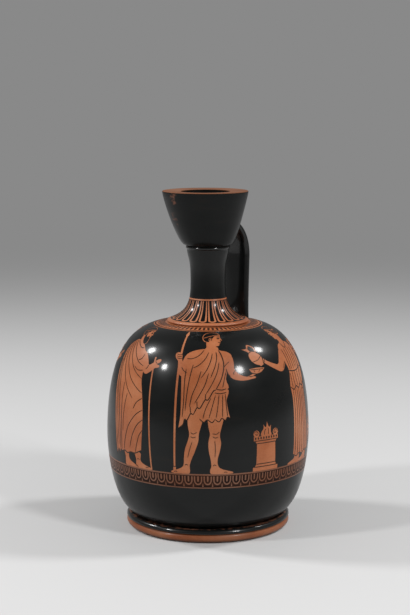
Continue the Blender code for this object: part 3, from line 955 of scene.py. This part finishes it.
# The woman with a jug
# A long belted dress with an overfold, the hair in a knot, and one arm held out over the altar.
# The jug in that hand is tipped over the youth's bowl.
front_shoe = [
    (-9.0, 6), (-9.6, 3.0), (-12.6, 1.8), (-15.4, 0.9), (-15.2, 0), (-8, 0), (-3.6, 0.1), (-3.6, 6),
]
back_shoe = [
    (2.0, 6), (1.2, 3.0), (-1.6, 1.8), (-4.4, 0.9), (-4.2, 0), (3, 0), (6.8, 0.1), (6.6, 6),
]
jug_arm = [
    (-4.0, 68.6), (-9.0, 67.6), (-12.6, 63.4), (-15.6, 59.6), (-19.6, 60.6), (-23.4, 62.6),
    (-25.2, 64.2), (-26.6, 64.0), (-26.4, 62.2), (-24.6, 60.4), (-20.2, 57.4), (-15.4, 55.0),
    (-11.6, 56.0), (-8.0, 60.4),
]
low_arm = [
    (7.0, 68.0), (10.6, 66.0), (12.4, 60.0), (12.6, 53.6), (10.6, 47.6), (8.2, 42.4), (6.8, 40.6),
    (5.4, 41.6), (6.0, 44.4), (8.0, 50.2), (8.6, 56.4), (6.4, 61.0),
]
dress = [
    (3.4, 71.6), (7.6, 69.8), (9.6, 65.6), (8.4, 59.4), (7.4, 54.0), (9.2, 48.0), (9.6, 44.4),
    (9.0, 38.0), (9.6, 26.0), (10.4, 14.0), (11.2, 5.4), (11.2, 5.4), (8.0, 4.2), (4.4, 5.0),
    (0.6, 3.8), (-3.4, 4.8), (-7.0, 3.6), (-10.8, 5.2), (-10.8, 5.2), (-10.4, 14), (-9.8, 26),
    (-9.2, 38.0), (-9.8, 44.4), (-9.0, 48.6), (-7.2, 54.0), (-8.6, 60.0), (-9.4, 65.8), (-7.4, 69.8),
    (-3.2, 71.6),
]
jug_middle = (-30.0, 65.0)
jug_tilt = math.radians(24)


def tipped(points):
    """Sets points of the upright jug in the hand, tipped over the bowl."""
    cos, sin = math.cos(jug_tilt), math.sin(jug_tilt)
    return [(jug_middle[0] + x * cos - y * sin, jug_middle[1] + x * sin + y * cos) for x, y in points]


jug = [
    (-1.5, -5.0), (-1.5, -5.0), (1.5, -5.0), (1.5, -5.0), (1.6, -4.2), (3.6, -2.0), (4.1, 0.6),
    (3.0, 3.0), (1.1, 4.3), (0.9, 5.8), (1.9, 7.2), (1.9, 7.2), (0, 6.9), (-2.6, 8.0), (-2.6, 8.0),
    (-1.4, 6.0), (-1.1, 4.3), (-3.0, 3.0), (-4.1, 0.6), (-3.6, -2.0), (-1.6, -4.2),
]
woman = [("clay", rounded(part)) for part in (back_shoe, front_shoe, dress, low_arm, jug_arm)]
woman += profile_head(0.2, 74.2, False)
knot = [(4.0, 80.8), (6.8, 81.6), (8.4, 79.4), (7.4, 77.1), (4.4, 77.2)]
knot_hair = [(4.4, 80.2), (6.6, 81.0), (7.8, 79.4), (7.0, 77.6), (4.9, 77.8)]
jug_handle = [(1.6, 6.9), (3.8, 7.8), (5.0, 5.0), (3.4, 2.2)]
woman.append(("clay", rounded(knot)))
woman.append(("gloss", rounded(knot_hair)))
woman.append(("clay", brushed(0.9, tipped(jug_handle), 4, 1)))
woman.append(("clay", rounded(tipped(jug))))
for width, points in (
    (0.34, tipped([(-1.1, 4.5), (0, 4.2), (1.1, 4.5)])),
    (0.34, tipped([(-3.9, -0.6), (0, -1.3), (3.9, -0.6)])),
    (0.45, tipped([(1.7, -4.4), (3.7, -2.1), (4.2, 0.6), (3.1, 3.1)])),
    (0.50, [(3.2, 71.4), (1.2, 68.2), (-1.4, 68.2), (-3.2, 71.4)]),
    (0.60, [(8.8, 54.4), (4.0, 53.2), (-2.0, 53.2), (-7.2, 54.2)]),
    (0.60, [(9.4, 45.0), (6.4, 43.2), (3.4, 44.6), (0.4, 42.8), (-2.8, 44.4), (-6.0, 42.8), (-9.6, 44.8)]),
    (0.55, [(11.0, 5.5), (8.0, 4.4), (4.4, 5.2), (0.6, 4.0), (-3.4, 5.0), (-7.0, 3.8), (-10.6, 5.3)]),
    (0.36, [(-8.6, 60.2), (-10.4, 58.4), (-11.8, 56.4)]),
    (0.42, [(8.4, 56.8), (8.2, 60.4), (7.0, 63.4)]),
    (0.32, [(6.2, 44.0), (7.0, 42.6), (6.8, 41.0)]),
    (0.32, [(-24.6, 63.8), (-25.4, 62.8), (-25.6, 61.8)]),
    (0.34, [(12.2, 53.4), (9.0, 54.4), (7.8, 54.0)]),
):
    woman.append(("line", brushed(width, points)))
for top, waist in ((6.2, 4.6), (2.8, 2.2), (-0.4, -0.6), (-3.2, -3.2), (-6.0, -5.4)):
    run = [(top, 67.4), (0.4 * top + 0.6 * waist, 61.0), (waist, 54.5)]
    woman.append(("line", brushed(0.38, run)))
for waist, fold in ((6.4, 6.6), (2.6, 3.0), (-0.8, 0.0), (-4.0, -3.4), (-6.6, -6.8)):
    run = [(waist, 52.6), (1.06 * waist, 48.0), (fold, 44.4)]
    woman.append(("line", brushed(0.36, run)))
for i in range(7):
    fold = 7.4 - 2.46 * i
    run = [(fold, 42.8), (1.06 * fold, 27), (1.16 * fold, 12), (1.2 * fold, 4.8)]
    woman.append(("line", brushed(0.42, run)))
lay(woman, 65.5, 3)

# The altar
# A low block with a moulded foot and cap, between the two who pour and receive.
# It has a scroll on each end, a small fire on top and a row of tongues under the cap.
scroll_middle = (6.6, 21.8)
scroll_steps = 9
block = [
    (-8.6, 0), (8.6, 0), (8.6, 2.2), (7.4, 2.8), (6.6, 4.0), (6.4, 16.0), (7.2, 17.2), (8.4, 17.8),
    (8.4, 20.2), (-8.4, 20.2), (-8.4, 17.8), (-7.2, 17.2), (-6.4, 16.0), (-6.6, 4.0), (-7.4, 2.8),
    (-8.6, 2.2),
]
fire = [
    (-3.2, 20.2), (-3.4, 22.4), (-1.8, 24.6), (-2.0, 27.0), (-2.0, 27.0), (-0.2, 25.0), (0.6, 28.4),
    (0.6, 28.4), (2.0, 25.0), (3.4, 26.2), (3.4, 26.2), (3.2, 22.6), (3.4, 20.2),
]
altar = [("clay", block), ("clay", rounded(fire))]
for side in (-1, 1):
    across, up = scroll_middle
    altar.append(("clay", disc(side * across, up, 2.0)))
    scroll = []
    for i in range(scroll_steps):
        turn = 2.6 * math.pi * i / scroll_steps
        reach = 1.7 * (1 - i / scroll_steps)
        scroll.append((side * (across + reach * math.cos(turn)), up + reach * math.sin(turn)))
    altar.append(("line", brushed(0.36, scroll, 3)))
for level, half in ((2.5, 7.9), (4.2, 6.3), (16.2, 6.3), (17.7, 7.9)):
    altar.append(("line", brushed(0.42, [(-half, level), (0, level), (half, level)], 2, 1)))
for i in range(9):
    altar.append(("line", tongue(-7.2 + 1.8 * i, 0.45, 19.8, 18.4, 3)))
altar.append(("line", brushed(0.34, [(-1.4, 20.8), (-1.0, 23.0), (-0.2, 24.2)])))
altar.append(("line", brushed(0.34, [(1.4, 20.8), (1.6, 23.0), (1.2, 24.6)])))
lay(altar, 33.5)

# The palmettes under the handle
# Fans of leaves round a ringed heart, one above the other, with tendrils that run out and curl up.
# A smaller fan grows at each side. One half is drawn, and the other is the same turned over.
handle_turn = 139.2
curl_angle = math.radians(480)
curl_steps = 18
shrink_steps = 23


def palmette(x, y, reach, leaves, first, last, heart):
    """A fan of leaves from one angle to another, in degrees from straight up, round a heart of rings."""
    shapes = []
    for turn in np.radians(np.linspace(first, last, leaves)):
        share = abs(turn - math.radians((first + last) / 2)) / math.radians((last - first) / 2)
        length = reach * (1 - 0.28 * share**1.5)
        start = 1.35 * heart
        width = math.radians(last - first) / (leaves - 1) * length * 0.40
        ahead = np.array((math.sin(turn), math.cos(turn)))
        side = np.array((ahead[1], -ahead[0]))
        right = [(0, 0.22), (0.35, 0.42), (0.62, 0.72), (0.82, 0.98), (0.94, 0.85)]
        outline = [*right, (1, 0), *[(along, -half) for along, half in right[::-1]]]
        leaf = []
        for along, half in outline:
            leaf.append((x, y) + ahead * (start + (length - start) * along) + side * width * half)
        shapes.append(("clay", rounded(leaf, True, 3)))
    shapes.append(("clay", disc(x, y, heart, 24)))
    shapes.append(("gloss", disc(x, y, 0.62 * heart, 20)))
    shapes.append(("clay", disc(x, y, 0.3 * heart, 14)))
    return shapes


def tendril(stem, x, y, reach, start, way):
    """A stem that ends in a scroll about the given eye. The way is 1 for a left turn, else -1."""
    points = list(stem)
    for i in range(curl_steps + 1):
        turn = math.radians(start) + way * curl_angle * i / curl_steps
        away = reach * (1 - i / shrink_steps)
        points.append((x + away * math.cos(turn), y + away * math.sin(turn)))
    return "clay", brushed(0.85, points, 4, 0.55)


long_stem = [
    (5.8, 11.0), (8.6, 5.4), (15.0, 2.6), (25.0, 5.6), (33.0, 15.0), (37.0, 29.0), (35.5, 42.0),
    (31.0, 52.0),
]
half_ornament = [
    tendril([(1.2, 27.0), (2.6, 19.0), (5.0, 12.6)], 13.0, 10.5, 5.6, 200, 1),
    tendril(long_stem, 24.0, 58.0, 5.4, 15, 1),
    tendril([(30.4, 11.0), (35.0, 9.6), (38.8, 14.0)], 45.0, 22.0, 5.0, 190, -1),
    tendril([(35.6, 42.0), (36.6, 50.0), (36.2, 59.0)], 31.0, 68.0, 3.8, 0, 1),
    ("clay", brushed(0.8, [(37.6, 11.8), (45.0, 8.6), (51.0, 12.4)])),
    ("clay", brushed(0.8, [(36.4, 55.0), (38.0, 59.2), (40.0, 61.8)])),
]
half_ornament += palmette(53.0, 14.0, 12.5, 9, -20, 165, 2.1)
half_ornament += palmette(41.0, 63.0, 11.0, 7, 0, 140, 1.9)
ornament = half_ornament + mirrored(half_ornament)
ornament += palmette(0, 31, 24, 11, -118, 118, 3.2)
ornament += palmette(0, 68, 16, 9, -112, 112, 2.6)
lay(ornament, handle_turn)

# The coat over the whole body
# Black slip brushed over all that no reserved shape covers, from the foot up to the neck's ridge.
# The drawn lines, the wash with its painted shade and the thinned slip are coats of their own, cut from the
# same sheet.
coat_end = ring_end - 0.05
body_sheet = painted(body_wall, belly_radius, 0, coat_end, body_shapes, paint_step)
for name, finish, lift, material, slot in (
    ("body_gloss", "gloss", coat_lift, black_gloss, "black_gloss"),
    ("body_lines", "line", line_lift, relief_line, "black_gloss"),
    ("body_wash_and_shade", "wash", coat_lift, washed_and_shaded_clay, "reserved_clay"),
    ("body_brown_slip", "brown", coat_lift, brown_slip, "black_gloss"),
):
    coat = coat_piece(name, body_sheet, finish, lift, material)
    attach(coat, "root")

# The neck
# A thrown, waisted tube that spreads into a flange on the shoulder, whose edge makes the ridge there.
# The clay shows on the ridge and round the tongues. The bead on top laps over the seam with the mouth.
neck_low, neck_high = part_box("neck")
neck_base = neck_low.z
bead_lap = 0.0012
neck_top = neck_high.z + bead_lap
neck_top_radius = 0.0126
neck_top_lean = math.radians(7.6)
bead = 0.0010
waist_radius = 0.0103
waist_level = neck_base + 0.0248
waist_reach = 0.0123
flange_edge = 0.0014
flange_rise = math.radians(20)
flange_reach = 0.0132

ridge_round = flange_edge / 2
ridge_middle = (seat_radius - ridge_round, neck_base + ridge_round)
ridge = arc(ridge_middle, ridge_round, ridge_round, -90, 90, 16)
flare = curve(
    ridge[-1],
    (-flange_reach * math.cos(flange_rise), flange_reach * math.sin(flange_rise)),
    (0, -waist_reach),
    (waist_radius, waist_level),
    60,
)
bead_base = neck_top - 1.7 * bead
shaft_pull = (neck_top - neck_base) / 6
shaft = curve(
    (waist_radius, waist_level),
    (0, waist_reach),
    (-shaft_pull * math.sin(neck_top_lean), -shaft_pull * math.cos(neck_top_lean)),
    (neck_top_radius, bead_base),
    40,
)
bead_curve = arc((neck_top_radius - bead / 2, neck_top - bead), bead, bead, -50, 90, 14)
neck_wall = wall_of(joined(ridge, flare, shaft[:-1], bead_curve))
neck_section = joined(neck_wall["face"], (bore_radius, neck_top), (bore_radius, neck_base))
neck = turned("neck_clay", neck_section, True, 128)
sheen_clay = toned_material(
    "sheen_clay", clay_tone, bump=0.25, ior=1.5, polish=0.06, Wash=(1, 1, 1, 1), Soil_Level=0.001
)
neck.data.materials.append(sheen_clay)
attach(neck, "root")
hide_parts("neck")

# The tongues on the neck
# Black tongues on the flange's slope, each in a loop of bare clay, under a reserved line.
# Above that line the neck is black up to the mouth. Handling has polished the bead under the mouth.
neck_radius = 0.012
neck_half = math.pi * neck_radius * 1000
neck_paint_step = 1.0
line_height = 0.1360
flare_start = np.linalg.norm(np.diff(ridge, axis=0), axis=1).sum() * 1000
neck_line = np.interp(line_height, neck_wall["face"][:, 1], neck_wall["along"]) * 1000
bead_start = np.interp(bead_base, neck_wall["face"][:, 1], neck_wall["along"])
tongue_count = 22
tongue_start = math.radians(8.13)
tongue_pitch = 2 * neck_half / tongue_count
loop_half = 0.42 * tongue_pitch
tongue_half = 0.22 * tongue_pitch
neck_shapes = [
    band("clay", neck_half, flare_start - 2.5, flare_start + 1.4),
    band("clay", neck_half, neck_line, neck_line + 0.9),
]
for i in range(tongue_count):
    middle = -neck_half + (i + 0.5) * tongue_pitch
    neck_shapes.append(("clay", tongue(middle, loop_half, neck_line - 0.3, flare_start + 1.9)))
    neck_shapes.append(("gloss", tongue(middle, tongue_half, neck_line - 0.28, flare_start + 3.1)))
neck_sheet = painted(
    neck_wall, neck_radius, flare_start - 2.4, neck_line + 1.5, neck_shapes, neck_paint_step
)
neck_coat = coat_piece("neck_gloss", neck_sheet, "gloss", coat_lift, black_gloss, tongue_start)
shaft_section = coat_section(neck_wall, neck_line / 1000 + 0.0014, bead_start + 0.0001)
shaft_coat = turned("neck_shaft_gloss", shaft_section, True, 128)
shaft_coat.data.materials.append(black_gloss)
bead_coat = turned("neck_bead_gloss", coat_section(neck_wall, bead_start - 0.0001), True, 128)
bright_gloss = toned_material("bright_gloss", gloss_tone, bump=0.05, ior=1.14, polish=0.6, **unrubbed)
bead_coat.data.materials.append(bright_gloss)
for coat in (neck_coat, shaft_coat, bead_coat):
    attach(coat, "root")

# The mouth
# A thrown bell on a short collar, with a broad lip and a funnel down to the bore. It leans a little.
# The lip is bare clay with a thin wash.
mouth_low, mouth_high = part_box("mouth")
mouth_base = mouth_low.z
mouth_top = mouth_high.z
mouth_radius = (mouth_high.x - mouth_low.x) / 2
bell_base = mouth_base + 0.0016
mouth_base_radius = 0.0142
mouth_base_reach = 0.0027
rim_lean = math.radians(8)
rim_reach = 0.0060
lip_width = 0.0103
lip_slope = 2
lip_round = 0.0005
funnel_reach = 0.0100
mouth_lean = 0.0016
mouth_lean_turn = math.radians(222)


def lean_bell(piece):
    """Leans what stands above the collar, most at the lip, as the soft mouth settled in the making."""
    for vertex in piece.data.vertices:
        rise = max(0.0, vertex.co.z - bell_base) / (mouth_top - bell_base)
        offset = mouth_lean * (1 - (1 - min(rise, 1.0)) ** 2)
        vertex.co.x += offset * math.cos(mouth_lean_turn)
        vertex.co.y += offset * math.sin(mouth_lean_turn)


bell = curve(
    (mouth_base_radius, bell_base),
    (mouth_base_reach, 0),
    (-rim_reach * math.sin(rim_lean), -rim_reach * math.cos(rim_lean)),
    (mouth_radius, mouth_top - lip_round),
    60,
)
lip_middle = (mouth_radius - lip_round, mouth_top - lip_round)
lip_edge = arc(lip_middle, lip_round, lip_round, 0, 90 - lip_slope, 8)
lip_fall = -lip_width * np.array((math.cos(math.radians(lip_slope)), math.sin(math.radians(lip_slope))))
funnel = curve(lip_edge[-1] + lip_fall, (0, -funnel_reach), (0, funnel_reach), (bore_radius, neck_top), 50)
collar_radius = neck_top_radius + bead / 2
collar = np.array(((collar_radius, neck_top), (collar_radius, bell_base)))
mouth_section = joined(collar, bell, lip_edge, funnel)
mouth = turned("mouth_clay", mouth_section, True, 128)
lean_bell(mouth)
washed_lip = toned_material(
    "washed_lip",
    clay_tone,
    bump=0.3,
    ior=1.15,
    polish=0.0,
    Wash=(0.46, 0.55, 0.66, 1),
    Soil_Level=0.001,
)
mouth.data.materials.append(washed_lip)
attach(mouth, "root")
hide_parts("mouth")

# The gloss on the mouth
# Black slip on the bell's outside, up onto the rounded edge of the lip, and in the funnel.
# It is rubbed through to the clay in two places, under the lip and halfway down the bell.
bell_wall = wall_of(joined(collar, bell, lip_edge[:3]))
funnel_wall = wall_of(funnel)
rub_places = []
for side, radius, drop in ((-51, 0.0250, 0.0030), (-61, 0.0232, 0.0165)):
    angle = picture_turn + math.radians(side)
    rub_places.append((radius * math.cos(angle), radius * math.sin(angle), mouth_top - drop))
mouth_gloss = toned_material(
    "mouth_gloss",
    gloss_tone,
    bump=0.15,
    ior=1.16,
    polish=0.1,
    Rub_Place=rub_places[0],
    Other_Place=rub_places[1],
    Rub_Stretch=(1, 1, 0.6),
    Rub_Reach=0.011,
)
bell_coat = turned("mouth_gloss", coat_section(bell_wall), True, 128)
funnel_coat = turned("funnel_gloss", coat_section(funnel_wall, 0.0002), True, 128)
for coat in (bell_coat, funnel_coat):
    lean_bell(coat)
    coat.data.materials.append(mouth_gloss)
    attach(coat, "root")

# The handle
# A strap pulled from a roll of clay, bent from the bell down to the shoulder and luted at both ends.
# Black slip covers it all over. Its ends are trimmed to the faces of the bell, the ridge and the shoulder.
handle_width = 0.0182
handle_depth = 0.0052
handle_out = 0.0297
arch_width = 0.0183
arch_height = 0.0228
arch_drop = 0.0067
handle_lean = 0.0015
root_spread = 0.0010
strap_points = 40
edge_power = 0.55
face_power = 0.8
arch_steps = 30
leg_points = 18
trim_inset = 0.0001

arch_level = mouth_base - arch_drop
leg_out = handle_out - handle_depth / 2
arch_middle = (handle_out - arch_width, arch_level)
arch = arc(arch_middle, arch_width - handle_depth / 2, arch_height - handle_depth / 2, 90, 0, arch_steps)
leg_end = (leg_out - handle_lean, shoulder_level - body_wall_depth)
handle_path = joined(arch, np.linspace((leg_out, arch_level), leg_end, leg_points))
handle_wall = wall_of(handle_path)
handle_share = handle_wall["along"] / handle_wall["along"][-1]
handle_widths = handle_width + 2 * root_spread * (2 * handle_share - 1) ** 4
outward = -handle_wall["out"]
bpy.ops.object.select_all(action="DESELECT")
bpy.ops.mesh.primitive_circle_add(vertices=strap_points, radius=0.01, fill_type="NGON")
handle = bpy.context.active_object
handle.name = "handle_gloss"
handle.data.name = "handle_gloss"
for vertex, turn in zip(handle.data.vertices, np.linspace(0, math.tau, strap_points + 1)):
    across = handle_widths[0] / 2 * np.sign(np.cos(turn)) * np.abs(np.cos(turn)) ** edge_power
    through = handle_depth / 2 * np.sign(np.sin(turn)) * np.abs(np.sin(turn)) ** face_power
    place = handle_path[0] + outward[0] * through
    vertex.co = (across, place[0], place[1])
bpy.ops.object.mode_set(mode="EDIT")
bpy.ops.mesh.select_all(action="SELECT")
for i in range(1, len(handle_path)):
    move = handle_path[i] - handle_path[i - 1]
    middle = (0, handle_path[i][0], handle_path[i][1])
    bend = math.atan2(outward[i - 1][1], outward[i - 1][0]) - math.atan2(outward[i][1], outward[i][0])
    spread = handle_widths[i] / handle_widths[i - 1]
    bpy.ops.mesh.extrude_region_move(TRANSFORM_OT_translate={"value": (0, move[0], move[1])})
    bpy.ops.transform.rotate(value=bend, orient_axis="X", center_override=middle)
    bpy.ops.transform.resize(value=(spread, 1, 1), center_override=middle)
bpy.ops.mesh.select_all(action="SELECT")
bpy.ops.mesh.normals_make_consistent(inside=False)
bpy.ops.object.mode_set(mode="OBJECT")
trim_section = joined(
    (0, base_level),
    body_wall["face"] - body_wall["out"] * trim_inset,
    neck_wall["face"] - neck_wall["out"] * trim_inset,
    bell_wall["face"] - bell_wall["out"] * trim_inset,
    (0, bell_wall["face"][-1][1]),
)
trimmer = turned("handle_trimmer", trim_section, False, 128)
lean_bell(trimmer)
bpy.ops.object.select_all(action="DESELECT")
handle.select_set(True)
bpy.context.view_layer.objects.active = handle
trim = handle.modifiers.new("trim", "BOOLEAN")
trim.operation = "DIFFERENCE"
trim.solver = "EXACT"
trim.object = trimmer
bpy.ops.object.modifier_apply(modifier="trim")
bpy.data.objects.remove(trimmer)
bpy.ops.object.shade_smooth_by_angle(angle=math.radians(35))
handle_gloss = toned_material("handle_gloss", gloss_tone, bump=0.15, ior=1.22, polish=0.35, **unrubbed)
handle.data.materials.append(handle_gloss)
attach(handle, "root")
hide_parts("handle")

# The floor
# A wide pale table top, which takes the flask's shadow.
# Far out it fades into the tone of the surround, so that no edge shows.
pale_tone = (0.56, 0.56, 0.56, 1)
surround_tone = (0.25, 0.25, 0.25, 1)
fade_start = 0.25
fade_end = 1.9


def seen_rays(tree, place):
    """A mask of the rays that see the background itself: from the camera, or off a shiny or clear face."""
    rays = new_node(tree, "ShaderNodeLightPath", place)
    first = new_node(tree, "ShaderNodeMath", (place[0] + 200, place[1]), operation="MAXIMUM")
    every = new_node(tree, "ShaderNodeMath", (place[0] + 400, place[1]), operation="MAXIMUM")
    wire(
        tree,
        (rays, "Is Camera Ray", first, 0),
        (rays, "Is Glossy Ray", first, 1),
        (first, "Value", every, 0),
        (rays, "Is Transmission Ray", every, 1),
    )
    return every


bpy.ops.object.select_all(action="DESELECT")
bpy.ops.mesh.primitive_circle_add(vertices=96, radius=6, fill_type="NGON", location=(0, 0, -0.0002))
floor = bpy.context.active_object
floor.name = "floor"
pale_floor = bpy.data.materials.new("pale_floor")
pale_floor.use_nodes = True
tree = pale_floor.node_tree
table = tree.nodes["Principled BSDF"]
table.inputs["Roughness"].default_value = 0.7
table.inputs["Base Color"].default_value = pale_tone
where = new_node(tree, "ShaderNodeTexCoord", (-900, 0))
reach = new_node(tree, "ShaderNodeVectorMath", (-700, 0), operation="LENGTH")
fade = new_node(tree, "ShaderNodeMapRange", (-500, 0), interpolation_type="SMOOTHERSTEP")
fade.inputs["From Min"].default_value = fade_start
fade.inputs["From Max"].default_value = fade_end
seen = seen_rays(tree, (-900, 400))
share = new_node(tree, "ShaderNodeMath", (-250, 200), operation="MULTIPLY")
far = new_node(tree, "ShaderNodeEmission", (0, -500), Color=surround_tone)
mix = new_node(tree, "ShaderNodeMixShader", (350, 100))
wire(
    tree,
    (where, "Object", reach, 0),
    (reach, "Value", fade, "Value"),
    (fade, "Result", share, 0),
    (seen, "Value", share, 1),
    (share, "Value", mix, "Fac"),
    (table, "BSDF", mix, 1),
    (far, "Emission", mix, 2),
    (mix, "Shader", tree.nodes["Material Output"], "Surface"),
)
floor.data.materials.append(pale_floor)

# The surround
# An even pale light from all sides, as from the walls of a studio.
# What is seen of it, directly or in the gloss, has the surround's own tone.
world = bpy.data.worlds.new("studio")
bpy.context.scene.world = world
world.use_nodes = True
tree = world.node_tree
walls = tree.nodes["Background"]
walls.inputs["Color"].default_value = pale_tone
walls.inputs["Strength"].default_value = 0.5
shown = new_node(tree, "ShaderNodeBackground", (0, -200), Color=surround_tone)
seen = seen_rays(tree, (-700, 300))
mix = new_node(tree, "ShaderNodeMixShader", (250, 0))
wire(
    tree,
    (seen, "Value", mix, "Fac"),
    (walls, "Background", mix, 1),
    (shown, "Background", mix, 2),
    (mix, "Shader", tree.nodes["World Output"], "Surface"),
)

# The lamps
# Four round soft boxes, two on each side, as the small bright spots on the gloss show.
# Each stands at a bearing from the picture's front and a rise above the flask's middle, in degrees.
lamp_distance = 1.3
flask_middle = Vector((0, 0, 0.09))
for name, side, rise, size, power in (
    ("lamp_far_left", -104, 40, 0.20, 8),
    ("lamp_near_left", -62, 33, 0.14, 6.5),
    ("lamp_far_right", 99, 46, 0.20, 8),
    ("lamp_near_right", 44, 34, 0.20, 8),
):
    lamp = bpy.data.lights.new(name, "AREA")
    lamp.shape = "DISK"
    lamp.size = size
    lamp.energy = power
    holder = bpy.data.objects.new(name, lamp)
    bpy.context.scene.collection.objects.link(holder)
    bearing = picture_turn + math.radians(side)
    level = math.radians(rise)
    flat = math.cos(level)
    way = Vector((flat * math.cos(bearing), flat * math.sin(bearing), math.sin(level)))
    holder.location = flask_middle + way * lamp_distance
    holder.rotation_euler = way.to_track_quat("Z", "Y").to_euler()

# The camera
# At the picture's height and distance, looking a little down.
# The flask stands a few pixels right of the middle, so the camera looks as much to the left.
camera_distance = 0.893
camera_height = 0.261
look_down = math.radians(8.32)
picture_height = 615
pixels_right = 3
camera_data = bpy.data.cameras.new("camera")
camera_data.lens = 88.78
camera_data.sensor_width = 36
focal_pixels = camera_data.lens / camera_data.sensor_width * picture_height
look_left = pixels_right / focal_pixels
camera = bpy.data.objects.new("camera", camera_data)
bpy.context.scene.collection.objects.link(camera)
camera.location = (
    camera_distance * math.cos(picture_turn),
    camera_distance * math.sin(picture_turn),
    camera_height,
)
camera.rotation_euler = (math.radians(90) - look_down, 0, picture_turn + math.radians(90) + look_left)
bpy.context.scene.camera = camera
bpy.context.scene.view_settings.view_transform = "Standard"
